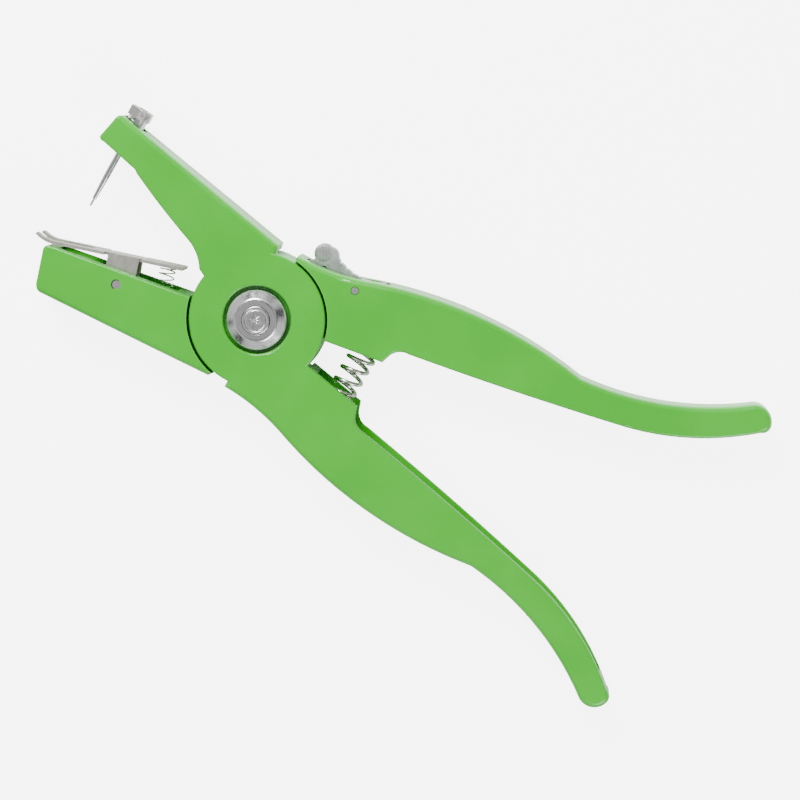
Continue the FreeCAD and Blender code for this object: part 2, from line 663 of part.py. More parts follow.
upper_form = plan_and_width("upper_jaw_lever", -1, UPPER_JAW, "jaw_tip_x")
upper_soft = soften("upper_soft", upper_form, -1)
upper_channel_plan = prism("upper_channel_plan", ("-boss_x + 3", "throat_y"), [
    ("-boss_x + 3", "jaw_tip_y - (jaw_tip_x - boss_x + 3) * %s - jaw_channel_top" % JAW_LINE),
    ("-jaw_channel_heel",
     "jaw_tip_y - (jaw_tip_x - jaw_channel_heel) * %s - jaw_channel_top" % JAW_LINE),
    ("(%s + hub_wall) * cos(jaw_channel_turn)" % RECESS,
     "(%s + hub_wall) * sin(jaw_channel_turn)" % RECESS,
     "(%s + hub_wall) * cos(jaw_channel_foot)" % RECESS,
     "(%s + hub_wall) * sin(jaw_channel_foot)" % RECESS),
    ("-throat_x", "0"),
    ("-boss_x + 3", "throat_y"),
], "(body_width - jaw_channel) / 2", "(body_width + jaw_channel) / 2")
upper_cuts = [
    drum("upper_recess", "0", "0", RECESS, "-1", FRONT_DISC),
    drum("upper_bore", "0", "0", "rivet_radius + bush_wall + fit", "0", "body_width"),
    counterbore("upper_cap_bore", "body_width", -1),
    upper_channel_plan,
    handle_channel("lower_handle_channel", -1, "coil_foot"),
    along_y("screw_spot", NEEDLE_X, "spot_radius", SPOT_Y, SPOT_Y + " + 9"),
    along_y("screw_bore", NEEDLE_X, "screw_radius + fit", HEAD_Y + " + needle_head_tall", SPOT_Y),
    along_y("head_bore", NEEDLE_X, "needle_head + fit", HEAD_Y, SPOT_Y),
    along_y("needle_bore", NEEDLE_X, "needle_root + fit", HEAD_Y + " - 9", HEAD_Y),
    lock_notch("open_notch", "0"),
    lock_notch("lock_notch", "close_angle"),
]
upper_hollow = cut("upper_hollow", upper_soft, upper_cuts)
lower_peg = along_y("lower_peg", "coil_x", "coil_radius - coil_wire / 2 - coil_gap",
                    "-coil_foot - 1", "-coil_foot + 4")
upper_jaw_lever = join("upper_lever", [upper_hollow, lower_peg], "upper_jaw_lever")

# Lower jaw lever: lower jaw, rear hub disc and upper handle.
BOTTOM_LINE = ("(anvil_tip_y + anvil_height - %s)"
               " / (anvil_tip_x - anvil_lean - nose_round - anvil_heel_x)" % ANVIL_HEEL_Y)
SEAT_V = "clip_lift - clip_spring_tall"
lower_form = plan_and_width("lower_jaw_lever", 1, LOWER_JAW, "anvil_tip_x")
lower_soft = soften("lower_soft", lower_form, 1)
tray = prism("tray", ("-anvil_tip_x + tray_nose", "-anvil_root_y"), [
    ("-anvil_tip_x + tray_nose", "-anvil_tip_y"),
    ("-anvil_tip_x + anvil_lean + tray_nose", "-anvil_tip_y - anvil_height + tray_floor"),
    ("-clip_pin_x + clip_spring_u - 8", "-%s + tray_floor - (clip_pin_x - clip_spring_u"
     " + 8 - anvil_heel_x) * %s" % (ANVIL_HEEL_Y, BOTTOM_LINE)),
    on_clip("clip_spring_u - seat_ledge", SEAT_V),
    on_clip("seat_length", SEAT_V),
    on_clip("seat_length", "clip_lift"),
    ("-anvil_tip_x + tray_nose", "-anvil_root_y"),
], "(body_width - tray_width) / 2", "(body_width + tray_width) / 2")
SLOT_LOW = "latch_mid - latch_width / 2 - slot_side"
SLOT_HIGH = "latch_mid + latch_width / 2 + slot_side"
SLOT_REACH = "(hub_radius + rim_gap + slot_skin)"
SLOT_CORNER = "sqrt(%s ^ 2 - slot_floor ^ 2)" % SLOT_REACH
SLOT_REST = [
    (SLOT_CORNER, "slot_floor"),
    ("latch_x + latch_boss + 0.6", "slot_floor"),
    ("latch_x + latch_boss + 0.6", "latch_y"),
    ("tail_x + 1.2", "tail_y - tail_thick - 0.8"),
    ("tail_x + 1.2", "crest_y"),
    ("slot_start", "crest_y"),
]
slot_top_left = ("slot_start", "sqrt(%s ^ 2 - slot_start ^ 2)" % SLOT_REACH)
slot_rear = prism("slot_rear", slot_top_left, [
    ("%s * cos(66)" % SLOT_REACH, "%s * sin(66)" % SLOT_REACH, *SLOT_REST[0]),
    *SLOT_REST[1:],
    slot_top_left,
], SLOT_LOW, MID)
slot_front = prism("slot_front", ("slot_start", "hub_radius - 2"), [
    (SLOT_CORNER, "slot_floor - 3"),
    *SLOT_REST,
    ("slot_start", "hub_radius - 2"),
], MID, SLOT_HIGH)
lower_cuts = [
    drum("lower_recess", "0", "0", RECESS, REAR_DISC, "body_width + 1"),
    drum("lower_bore", "0", "0", "rivet_radius + bush_wall + fit", "0", "body_width"),
    counterbore("lower_cap_bore", "0", 1),
    handle_channel("upper_handle_channel", 1, "coil_top"),
    tray,
    slot_rear,
    slot_front,
    drum("latch_pin_bore", "latch_x", "latch_y", "latch_pin + fit", "0", "body_width"),
    drum("clip_pin_bore", "-clip_pin_x", "-clip_pin_y", "clip_pin_radius + fit", "0", "body_width"),
]
lower_hollow = cut("lower_hollow", lower_soft, lower_cuts)
upper_peg = along_y("upper_peg", "coil_x", "coil_radius - coil_wire / 2 - coil_gap",
                    "coil_top - 4", "coil_top + 1")
seat_peg = new_body("seat_peg")
seat_peg_sketch = new_sketch(seat_peg, "XZ_Plane")
draw_circle(seat_peg_sketch, "0", "0", "seat_peg")
pad(seat_peg, seat_peg_sketch, "2 * seat_peg_tall", symmetric=True)
place(seat_peg, *on_clip("clip_spring_u", SEAT_V), MID, Z_UP, size("clip_tilt"))
lower_jaw_lever = join("lower_lever", [lower_hollow, upper_peg, seat_peg], "lower_jaw_lever")

# Pivot: a steel rivet in a bush, with a conical washer in each counterbore.
LAND = "body_width - cap_depth + washer_height"
REAR_LAND = "cap_depth - rear_height"
washer_front = turned("washer_front", ("rivet_radius + fit", "0"), [
    ("washer_radius", "0"),
    ("washer_radius", "washer_rim"),
    ("washer_land", "washer_height"),
    ("rivet_radius + rivet_lip + fit", "washer_height"),
    ("rivet_radius + fit", "washer_height - rivet_lip"),
    ("rivet_radius + fit", "0"),
], "pivot_washer_front")
place(washer_front, "0", "0", "body_width - cap_depth")
washer_rear = turned("washer_rear", ("rivet_radius + fit", "0"), [
    ("washer_radius", "0"),
    ("washer_radius", "-rear_rim"),
    ("washer_land", "-rear_height"),
    ("rivet_radius + rivet_lip + fit", "-rear_height"),
    ("rivet_radius + fit", "-rear_height + rivet_lip"),
    ("rivet_radius + fit", "0"),
], "pivot_washer_rear")
place(washer_rear, "0", "0", "cap_depth")
pivot_rivet = turned("rivet", ("0", REAR_LAND + " - rivet_stand"), [
    ("rivet_radius", REAR_LAND + " - rivet_stand"),
    ("rivet_radius + rivet_lip", REAR_LAND),
    ("rivet_radius", REAR_LAND + " + rivet_lip"),
    ("rivet_radius", LAND + " - rivet_lip"),
    ("rivet_radius + rivet_lip", LAND),
    ("rivet_radius", LAND + " + rivet_stand"),
    ("0", LAND + " + rivet_stand"),
    ("0", REAR_LAND + " - rivet_stand"),
], "pivot_rivet")
pivot_bush = turned("bush", ("rivet_radius + fit", "cap_depth"), [
    ("rivet_radius + bush_wall", "cap_depth"),
    ("rivet_radius + bush_wall", "body_width - cap_depth"),
    ("rivet_radius + fit", "body_width - cap_depth"),
    ("rivet_radius + fit", "cap_depth"),
], "pivot_bush")


def turned_along_y(name, profile, label):
    """Piece turned about the needle axis, from (radius, height along Y) points."""
    body = new_body(name, label)
    sketch = new_sketch(body, "XY_Plane")
    draw_loop(sketch, profile[0], profile[1:] + profile[:1])
    revolve(body, sketch)
    return body


# Needle and the hexagon plug that clamps its head in the boss of the upper jaw.
PLUG_FOOT = HEAD_Y + " + needle_head_tall"
PLUG_TOP = SPOT_Y + " + spot_depth + screw_stand"
applicator_pin = turned_along_y("needle", [
    ("0", "needle_end_y"),
    ("needle_tip * 0.6", "needle_end_y"),
    ("needle_tip", "needle_end_y + 0.4"),
    ("needle_tip", "needle_end_y + needle_point"),
    ("needle_waist", "needle_end_y + needle_point + 0.3"),
    ("needle_radius", "needle_end_y + needle_point + needle_taper"),
    ("needle_radius", UNDER_Y + " - needle_collar"),
    ("needle_root", UNDER_Y + " - needle_collar / 2"),
    ("needle_root", HEAD_Y),
    ("needle_head", HEAD_Y),
    ("needle_head", PLUG_FOOT),
    ("0", PLUG_FOOT),
], "applicator_pin")
place(applicator_pin, NEEDLE_X, "0", MID)
plug = turned_along_y("plug", [
    ("0", PLUG_FOOT),
    ("screw_radius - 0.5", PLUG_FOOT),
    ("screw_radius", PLUG_FOOT + " + 0.5"),
    ("screw_radius", PLUG_TOP + " + 0.5"),
    ("0", PLUG_TOP + " + 0.5"),
], "plug")
place(plug, NEEDLE_X, "0", MID)
hexagon = new_body("hexagon")
hexagon_sketch = new_sketch(hexagon, "XZ_Plane", "-(%s)" % PLUG_TOP)
hex_corners = [("hex_flats / sqrt(3) * cos(%d)" % angle, "hex_flats / sqrt(3) * sin(%d)" % angle)
               for angle in range(30, 390, 60)]
draw_loop(hexagon_sketch, hex_corners[0], hex_corners[1:] + hex_corners[:1])
hexagon_pad = pad(hexagon, hexagon_sketch, "hex_height")
hexagon_pad.Reversed = True
place(hexagon, NEEDLE_X, "0", MID)
hex_round = turned_along_y("hex_round", [
    ("0", PLUG_TOP + " - 1"),
    ("hex_flats", PLUG_TOP + " - 1"),
    ("hex_flats", PLUG_TOP + " + hex_height - (hex_flats * 0.52) / 2"),
    ("hex_flats * 0.52", PLUG_TOP + " + hex_height"),
    ("hex_dish_radius", PLUG_TOP + " + hex_height"),
    ("hex_dish_radius - 0.5", PLUG_TOP + " + hex_height - hex_dish"),
    ("0", PLUG_TOP + " + hex_height - hex_dish"),
], "hex_round")
place(hex_round, NEEDLE_X, "0", MID)
hex_head = common("hex_head", hexagon, hex_round)
pin_screw = join("screw", [plug, hex_head], "pin_screw")

# Tag clip: a rocker of folded sheet with two prongs, and its pin. Drawn about its own pin.
clip_side = new_body("clip_side")
clip_side_sketch = new_sketch(clip_side, "XY_Plane")
draw_loop(clip_side_sketch, ("-clip_front + prong_curl", "clip_lift"), [
    ("clip_back", "clip_lift"),
    ("clip_back", "clip_lift + clip_sheet"),
    ("-clip_front + prong_curl", "clip_lift + clip_sheet"),
    ("-clip_front + prong_curl / 2", "clip_lift + clip_sheet + prong_rise * 0.22",
     "-clip_front + clip_sheet * 0.3", "clip_lift + clip_sheet + prong_rise"),
    ("-clip_front - clip_sheet * 0.2", "clip_lift + clip_sheet * 0.7 + prong_rise",
     "-clip_front + clip_sheet * 0.1", "clip_lift + clip_sheet * 0.1 + prong_rise"),
    ("-clip_front + prong_curl / 2", "clip_lift + prong_rise * 0.22",
     "-clip_front + prong_curl", "clip_lift"),
])
pad(clip_side, clip_side_sketch, "clip_width", symmetric=True)


def clip_window(name, x_low, x_high, z_low, z_high):
    """Straight cutter through the clip plate."""
    body = new_body(name)
    sketch = new_sketch(body, "XZ_Plane")
    draw_loop(sketch, (x_low, z_low), [(x_high, z_low), (x_high, z_high), (x_low, z_high),
                                       (x_low, z_low)])
    pad(body, sketch, "4 * clip_lift", symmetric=True)
    return body


WAIST = "ear_length / 2 + waist_slit"
clip_cuts = [
    clip_window("prong_slot", "-clip_front - 2", "-clip_front + prong_length - prong_gap / 2",
                "-prong_gap / 2", "prong_gap / 2"),
]
for face, sign in (("front", ""), ("back", "-")):
    clip_cuts.append(clip_window("clip_waist_" + face, "-(%s)" % WAIST, WAIST,
                                 sign + "ear_spread / 2", sign + "clip_width"))
    clip_cuts.append(clip_window("clip_tail_" + face, WAIST, "clip_back + 1",
                                 sign + "clip_back_width / 2", sign + "clip_width"))
    clip_cuts.append(clip_window("clip_slit_front_" + face, "-(%s)" % WAIST, "-ear_length / 2",
                                 sign + "(ear_spread / 2 - clip_sheet)", sign + "clip_width"))
    clip_cuts.append(clip_window("clip_slit_back_" + face, "ear_length / 2", WAIST,
                                 sign + "(ear_spread / 2 - clip_sheet)", sign + "clip_width"))
slot_root = new_body("slot_root")
slot_root_sketch = new_sketch(slot_root, "XZ_Plane")
draw_circle(slot_root_sketch, "-clip_front + prong_length - prong_gap / 2", "0", "prong_gap / 2")
pad(slot_root, slot_root_sketch, "4 * clip_lift", symmetric=True)
clip_cuts.append(slot_root)
clip_plate = cut("clip_plate", clip_side, clip_cuts)


def clip_ear(name, low):
    """One folded ear of the clip, from its plate down round the clip pin."""
    foot = "ear_foot"
    return prism(name, ("-ear_length / 2", "clip_lift"), [
        ("-ear_length / 2", "ear_foot"),
        ("-%s * cos(20)" % foot, "-%s * sin(20)" % foot),
        ("0", "-" + foot, "%s * cos(20)" % foot, "-%s * sin(20)" % foot),
        ("ear_length / 2", "ear_foot"),
        ("ear_length / 2", "clip_lift"),
        ("-ear_length / 2", "clip_lift"),
    ], low, "%s + clip_sheet" % low)


clip_solid = join("clip_solid", [clip_plate, clip_ear("ear_front", "ear_spread / 2 - clip_sheet"),
                                 clip_ear("ear_back", "-ear_spread / 2")])
tag_clip = cut("clip", clip_solid, [drum("ear_holes", "0", "0", "clip_pin_radius + fit",
                                         "-clip_width / 2", "clip_width / 2")], "tag_clip")
place(tag_clip, "-clip_pin_x", "-clip_pin_y", MID, Z_UP, size("clip_tilt"))
JAW_AT_PIN = ("body_width - (body_width - jaw_width) * (clip_pin_x - jaw_start)"
              " / (anvil_tip_x + 4 - jaw_start)")
clip_pin = drum("clip_hinge_pin", "-clip_pin_x", "-clip_pin_y", "clip_pin_radius",
                MID + " - (%s) / 2" % JAW_AT_PIN, MID + " + (%s) / 2" % JAW_AT_PIN)
clip_pin.Label = "clip_pin"

# Lock latch: knurled knob, serrated tail and hook, and its pin.
HOOK_X = "(hub_radius + hook_gap + hook_width / 2) * cos(hook_angle)"
HOOK_Y = "(hub_radius + hook_gap + hook_width / 2) * sin(hook_angle)"
LATCH_LOW = "latch_mid - latch_width / 2"
LATCH_HIGH = "latch_mid + latch_width / 2"
latch_pieces = [
    drum("latch_eye", "latch_x", "latch_y", "latch_boss", LATCH_LOW, LATCH_HIGH),
    drum("latch_knob", "knob_x", "knob_y", "knob_radius", LATCH_LOW, LATCH_HIGH),
    prism("latch_arm", ("knob_x - 2", "knob_y - knob_radius * 0.8"), [
        ("latch_x - 0.6", "latch_y - latch_boss + 0.1"),
        ("latch_x + latch_boss * 0.9", "latch_y - 1"),
        ("tail_x - 1", "tail_y - tail_thick"),
        ("tail_x", "tail_y - 0.5"),
        ("(knob_x + tail_x) / 2", "tail_y - 3.5", "knob_x + knob_radius * 0.8",
         "knob_y + knob_radius * 0.4"),
        ("knob_x - 2", "knob_y - knob_radius * 0.8"),
    ], LATCH_LOW, LATCH_HIGH),
    drum("hook_nose", HOOK_X, HOOK_Y, "hook_width / 2", "%s - hook_tall" % LATCH_HIGH, LATCH_HIGH),
    prism("hook_stem", (HOOK_X + " - hook_width / 2", HOOK_Y), [
        (HOOK_X + " + hook_width / 2", HOOK_Y),
        ("knob_x + 2", "knob_y - knob_radius * 0.7"),
        ("knob_x - knob_radius * 0.8", "knob_y - knob_radius * 0.2"),
        (HOOK_X + " - hook_width / 2", HOOK_Y),
    ], "%s - hook_tall" % LATCH_HIGH, LATCH_HIGH),
]
latch_solid = join("latch_solid", latch_pieces)
latch_bore = drum("latch_bore", "latch_x", "latch_y", "latch_pin + fit", "0", "body_width")
tail_cuts = [latch_bore]
for tooth in range(int(size("tail_teeth"))):
    share = (tooth + 0.5) / size("tail_teeth")
    along = "(knob_x + knob_radius + (tail_x - knob_x - knob_radius) * %.4f)" % share
    arc_mid = "((knob_x + tail_x) / 2)"
    lift = "(tail_y - 3.5 + 3.4 * ((%s - %s) / (tail_x - %s)) ^ 2)" % (along, arc_mid, arc_mid)
    tail_cuts.append(drum("tail_groove_%d" % tooth, along, lift + " + tooth_radius * 0.5",
                          "tooth_radius", LATCH_LOW + " - 1", LATCH_HIGH + " + 1"))
lock_latch = cut("latch", latch_solid, tail_cuts, "lock_latch")
latch_pin = drum("latch_hinge_pin", "latch_x", "latch_y", "latch_pin", "0", "body_width")
latch_pin.Label = "latch_pin"


def coil_spring(name, mean_radius, wire, turns, length, label):
    """Open coil spring along its own Z, from 0 to its length.

    Each half turn of round wire is tilted about Y, so that it ends higher than it starts and
    meets the next one in the same direction.
    """
    halves = int(round(2 * size(turns)))
    rise = "((%s) - %s) / %d" % (length, wire, halves)
    tilt = math.degrees(math.atan2(size(rise) / 2, size(mean_radius)))
    pieces = []
    for number in range(halves):
        half = doc.addObject("Part::Torus", "%s_half_%d" % (name, number))
        half.setExpression("Radius1", bind("sqrt((%s) ^ 2 + (%s) ^ 2 / 4)" % (mean_radius, rise)))
        half.setExpression("Radius2", bind(wire + " / 2"))
        half.Angle3 = 180.0
        half.Placement = FreeCAD.Placement(V(0, 0, 0),
                                           FreeCAD.Rotation(180.0 * (number % 2), tilt, 0.0))
        half.setExpression("Placement.Base.z", bind("%.1f * %s" % (number + 0.5, rise)))
        pieces.append(half)
    return join(name, pieces, label)


return_spring = coil_spring("return_coil", "coil_radius", "coil_wire", "coil_turns",
                            "coil_top + coil_foot - 2 * end_gap", "return_spring")
place(return_spring, "coil_x", "-coil_foot + end_gap + coil_wire / 2", MID, V(1, 0, 0), -90)
clip_spring = coil_spring("clip_coil_wire", "clip_coil", "clip_wire", "clip_turns",
                          "clip_spring_tall - 2 * end_gap", "clip_spring")
tilted = FreeCAD.Rotation(Z_UP, size("clip_tilt")).multiply(FreeCAD.Rotation(V(1, 0, 0), -90))
place(clip_spring, *on_clip("clip_spring_u", SEAT_V + " + end_gap + clip_wire / 2"), MID,
      tilted.Axis, math.degrees(tilted.Angle))
ARM_UNDER = ("latch_y - latch_boss + 0.1 + (knob_y - knob_radius * 0.8 - latch_y + latch_boss - 0.1)"
             " * (latch_x - 0.6 - latch_spring_x - latch_coil) / (latch_x - knob_x + 1.4)")
latch_spring = coil_spring("latch_coil_wire", "latch_coil", "latch_wire", "latch_turns",
                           "(%s) - slot_floor - 2 * end_gap" % ARM_UNDER, "latch_spring")
place(latch_spring, "latch_spring_x", "slot_floor + end_gap + latch_wire / 2", "latch_mid",
      V(1, 0, 0), -90)

PIECES = [
    upper_jaw_lever, lower_jaw_lever, pivot_rivet, pivot_bush, washer_front, washer_rear,
    applicator_pin, pin_screw, tag_clip, clip_pin, clip_spring, lock_latch, latch_pin,
    latch_spring, return_spring,
]


def main():
    """Check the document and write each piece to its own STEP file."""
    doc.recompute()
    for item in doc.Objects:
        if "Invalid" in item.State or "Error" in item.State:
            raise RuntimeError("%s failed: %s" % (item.Name, item.State))
    os.makedirs("parts", exist_ok=True)
    for piece in PIECES:
        shape = piece.Shape
        if shape.isNull() or not shape.isValid() or not shape.Solids:
            raise RuntimeError(piece.Label + " is not a valid solid")
        shape.exportStep(os.path.join("parts", piece.Label + ".step"))
        print("%-20s %9.1f mm3  %d solid(s)" % (piece.Label, shape.Volume, len(shape.Solids)))


main()
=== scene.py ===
"""Finishes, springs and fine fittings of the ear tag applicator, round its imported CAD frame.

Metres, in the frame of the tool: the origin lies on the main pivot axis in the plane of the back
faces, +Z is the pivot axis, +X runs to the handles and +Y is the side of the upper jaw. The tool
lies on its back on a pale floor, seen from the front.
"""
from __future__ import annotations

import logging
import math
from collections.abc import Callable, Mapping, Sequence
from dataclasses import dataclass, field
from enum import Enum

import bmesh
import bpy
from mathutils import Matrix, Vector

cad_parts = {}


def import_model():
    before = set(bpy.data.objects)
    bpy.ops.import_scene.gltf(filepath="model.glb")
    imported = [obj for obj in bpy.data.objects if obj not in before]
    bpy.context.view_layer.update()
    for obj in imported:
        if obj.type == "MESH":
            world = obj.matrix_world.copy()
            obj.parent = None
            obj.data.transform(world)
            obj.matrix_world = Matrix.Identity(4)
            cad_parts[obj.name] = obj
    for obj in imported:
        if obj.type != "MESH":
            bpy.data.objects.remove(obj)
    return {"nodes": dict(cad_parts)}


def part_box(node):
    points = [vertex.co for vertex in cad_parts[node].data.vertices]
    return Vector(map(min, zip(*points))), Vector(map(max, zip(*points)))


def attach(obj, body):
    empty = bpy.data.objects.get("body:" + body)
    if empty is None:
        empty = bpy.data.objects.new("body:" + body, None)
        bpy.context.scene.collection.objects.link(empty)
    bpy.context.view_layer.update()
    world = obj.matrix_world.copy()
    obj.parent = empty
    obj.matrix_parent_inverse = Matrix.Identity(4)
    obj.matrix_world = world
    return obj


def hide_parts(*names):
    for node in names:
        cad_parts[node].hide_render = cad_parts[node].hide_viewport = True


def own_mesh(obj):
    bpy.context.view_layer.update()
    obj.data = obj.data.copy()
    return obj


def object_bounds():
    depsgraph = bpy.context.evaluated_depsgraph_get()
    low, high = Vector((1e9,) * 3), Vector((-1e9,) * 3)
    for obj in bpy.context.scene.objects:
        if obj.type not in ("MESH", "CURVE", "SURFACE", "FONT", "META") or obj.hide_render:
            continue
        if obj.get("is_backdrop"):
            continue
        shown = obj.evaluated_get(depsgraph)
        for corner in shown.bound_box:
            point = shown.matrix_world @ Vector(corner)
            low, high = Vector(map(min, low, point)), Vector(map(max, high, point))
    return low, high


MM = 0.001
SHARP_EDGE = math.radians(38)
LOG = logging.getLogger("ear_tag_applicator")

Feed = float | Sequence[float] | bpy.types.NodeSocket


class Body(Enum):
    """Bodies of the frame that the scene's own pieces ride on."""

    LOWER_LEVER = "lower_lever"
    LATCH = "latch"


class Slot(Enum):
    """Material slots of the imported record."""

    GREEN_CASTING = "green_casting"
    BRIGHT_STEEL = "bright_steel"
    PLAIN_STEEL = "plain_steel"
    NICKEL_SHEET = "nickel_sheet"
    SPRING_WIRE = "spring_wire"
    CAST_LATCH = "cast_latch"


class Grain(Enum):
    """Direction in which a brushed or drawn surface is stretched, as scales along X, Y and Z."""

    ALONG_X = (0.06, 1.0, 1.0)
    ALONG_Y = (1.0, 0.06, 1.0)
    ALONG_Z = (1.0, 1.0, 0.06)


class NodeSheet:
    """Adds nodes to one node tree, and sets or links their inputs."""

    def __init__(self, tree: bpy.types.NodeTree) -> None:
        """Keep the tree that the nodes go into."""
        self.tree = tree

    def feed(self, socket: bpy.types.NodeSocket, value: Feed) -> None:
        """Link a socket to another one, or set its value."""
        if isinstance(value, bpy.types.NodeSocket):
            self.tree.links.new(value, socket)
        else:
            socket.default_value = value

    def add(self, kind: str, inputs: Mapping[str | int, Feed] | None = None,
            **settings: object) -> bpy.types.Node:
        """Add a node.

        Args:
            kind: Blender's name of the node's class.
            inputs: Values or sockets for its inputs, by name or number.
            settings: Properties of the node itself.

        Returns:
            The new node.
        """
        node = self.tree.nodes.new(kind)
        for name, value in settings.items():
            setattr(node, name, value)
        for name, value in (inputs or {}).items():
            self.feed(node.inputs[name], value)
        return node

    def math(self, operation: str, *values: Feed) -> bpy.types.NodeSocket:
        """Result of a Math node on up to three values."""
        return self.add("ShaderNodeMath", dict(enumerate(values)), operation=operation).outputs[0]

    def scaled(self, vector: Feed, scale: Feed) -> bpy.types.NodeSocket:
        """A vector multiplied by another one, axis by axis."""
        return self.add("ShaderNodeVectorMath", {0: vector, 1: scale},
                        operation="MULTIPLY").outputs[0]

    def noise(self, vector: Feed, scale: Feed, detail: float = 2.0,
              roughness: float = 0.5) -> bpy.types.NodeSocket:
        """Value of a noise texture, from 0 to 1."""
        inputs = {"Vector": vector, "Scale": scale, "Detail": detail, "Roughness": roughness}
        return self.add("ShaderNodeTexNoise", inputs).outputs[0]

    def fit(self, value: Feed, low: Feed, high: Feed, to_low: Feed = 0.0,
            to_high: Feed = 1.0) -> bpy.types.NodeSocket:
        """A value moved from one range to another, smoothly, and held at the ends."""
        inputs = {"Value": value, "From Min": low, "From Max": high,
                  "To Min": to_low, "To Max": to_high}
        return self.add("ShaderNodeMapRange", inputs,
                        interpolation_type="SMOOTHSTEP").outputs[0]

    def mix(self, share: Feed, first: Feed, second: Feed) -> bpy.types.NodeSocket:
        """Colour between two colours."""
        node = self.add("ShaderNodeMix", {0: share, 6: first, 7: second}, data_type="RGBA")
        return node.outputs[2]

    def bump(self, height: Feed, strength: float, distance: float) -> bpy.types.NodeSocket:
        """Normal tilted by a height."""
        inputs = {"Height": height, "Strength": strength, "Distance": distance}
        return self.add("ShaderNodeBump", inputs).outputs[0]

    def place(self) -> bpy.types.NodeSocket:
        """Position on the piece itself, in metres."""
        return self.add("ShaderNodeTexCoord").outputs["Object"]


@dataclass(frozen=True)
class SharedEffect:
    """An effect that several finishes use: a node group that is built once.

    Attributes:
        title: Name of the node group.
        inputs: Name, socket type and usual value of each input.
        outputs: Names of the outputs, all of them values.
        wire: Fills the group and returns its outputs' sockets in order.
    """

    title: str
    inputs: tuple[tuple[str, str, float | tuple[float, ...]], ...]
    outputs: tuple[str, ...]
    wire: Callable[[NodeSheet, Mapping[str, bpy.types.NodeSocket]],
                   tuple[bpy.types.NodeSocket, ...]]

    def tree(self) -> bpy.types.NodeTree:
        """The group's node tree, built when it is first asked for."""
        found = bpy.data.node_groups.get(self.title)
        if found is not None:
            return found
        tree = bpy.data.node_groups.new(self.title, "ShaderNodeTree")
        for name, kind, value in self.inputs:
            socket = tree.interface.new_socket(name=name, in_out="INPUT", socket_type=kind)
            socket.default_value = value
        for name in self.outputs:
            tree.interface.new_socket(name=name, in_out="OUTPUT", socket_type="NodeSocketFloat")
        sheet = NodeSheet(tree)
        entry = sheet.add("NodeGroupInput")
        results = self.wire(sheet, {name: entry.outputs[name] for name, *_ in self.inputs})
        sheet.add("NodeGroupOutput", dict(zip(self.outputs, results)))
        return tree

    def put(self, sheet: NodeSheet, **values: Feed) -> bpy.types.NodeOutputs:
        """Place the group in a material, with words of its input names joined by underscores."""
        node = sheet.add("ShaderNodeGroup", node_tree=self.tree())
        for name, value in values.items():
            sheet.feed(node.inputs[name.replace("_", " ").title()], value)
        return node.outputs


def wire_paint_skin(sheet: NodeSheet, given: Mapping[str, bpy.types.NodeSocket]
                    ) -> tuple[bpy.types.NodeSocket, ...]:
    """Sprayed paint: soft waves, fine orange peel and a slow change of shade.

    Args:
        sheet: The group's node sheet.
        given: The group's inputs by name.

    Returns:
        Height of the skin and its shade.
    """
    peel = sheet.noise(given["Place"], given["Peel Scale"], detail=1.5)
    wave = sheet.noise(given["Place"], sheet.math("MULTIPLY", given["Peel Scale"], 0.28), 1.0)
    height = sheet.math("MULTIPLY_ADD", wave, 1.6, peel)
    return height, sheet.noise(given["Place"], given["Shade Scale"], detail=3.0)


def wire_edge_wear(sheet: NodeSheet, given: Mapping[str, bpy.types.NodeSocket]
                   ) -> tuple[bpy.types.NodeSocket, ...]:
    """Edges where a finish is thin or rubbed, broken up along their length.

    Args:
        sheet: The group's node sheet.
        given: The group's inputs by name.

    Returns:
        Mask of the edges for the painted highlight, and mask of the rubbed spots on them.
    """
    rounded = sheet.add("ShaderNodeBevel", {"Radius": given["Reach"]}, samples=4).outputs[0]
    normal = sheet.add("ShaderNodeNewGeometry").outputs["Normal"]
    turn = sheet.add("ShaderNodeVectorMath", {0: rounded, 1: normal}, operation="DOT_PRODUCT")
    # Mask of the rounded edges; the finishes paint a highlight along it.
    edge = sheet.fit(turn.outputs["Value"], 0.995, 0.86)
    spots = sheet.noise(given["Place"], given["Spot Scale"], detail=4.0, roughness=0.65)
    rubbed = sheet.math("MULTIPLY", edge, sheet.fit(spots, 0.52, 0.66))
    return edge, rubbed


def wire_crevice(sheet: NodeSheet, given: Mapping[str, bpy.types.NodeSocket]
                 ) -> tuple[bpy.types.NodeSocket, ...]:
    """Corners and gaps where dust and shade gather.

    Args:
        sheet: The group's node sheet.
        given: The group's inputs by name.

    Returns:
        Mask of the painted shade in the crevices.
    """
    # Painted shade: ambient occlusion darkens the corners and gaps where light is blocked.
    open_share = sheet.add("ShaderNodeAmbientOcclusion", {"Distance": given["Reach"]},
                           samples=6).outputs["AO"]
    shade_breakup = sheet.noise(given["Place"], 420.0, detail=3.0)
    closed = sheet.fit(open_share, 0.75, 0.2)
    return (sheet.math("MULTIPLY", closed, sheet.fit(shade_breakup, 0.2, 0.7, 0.6, 1.0)),)


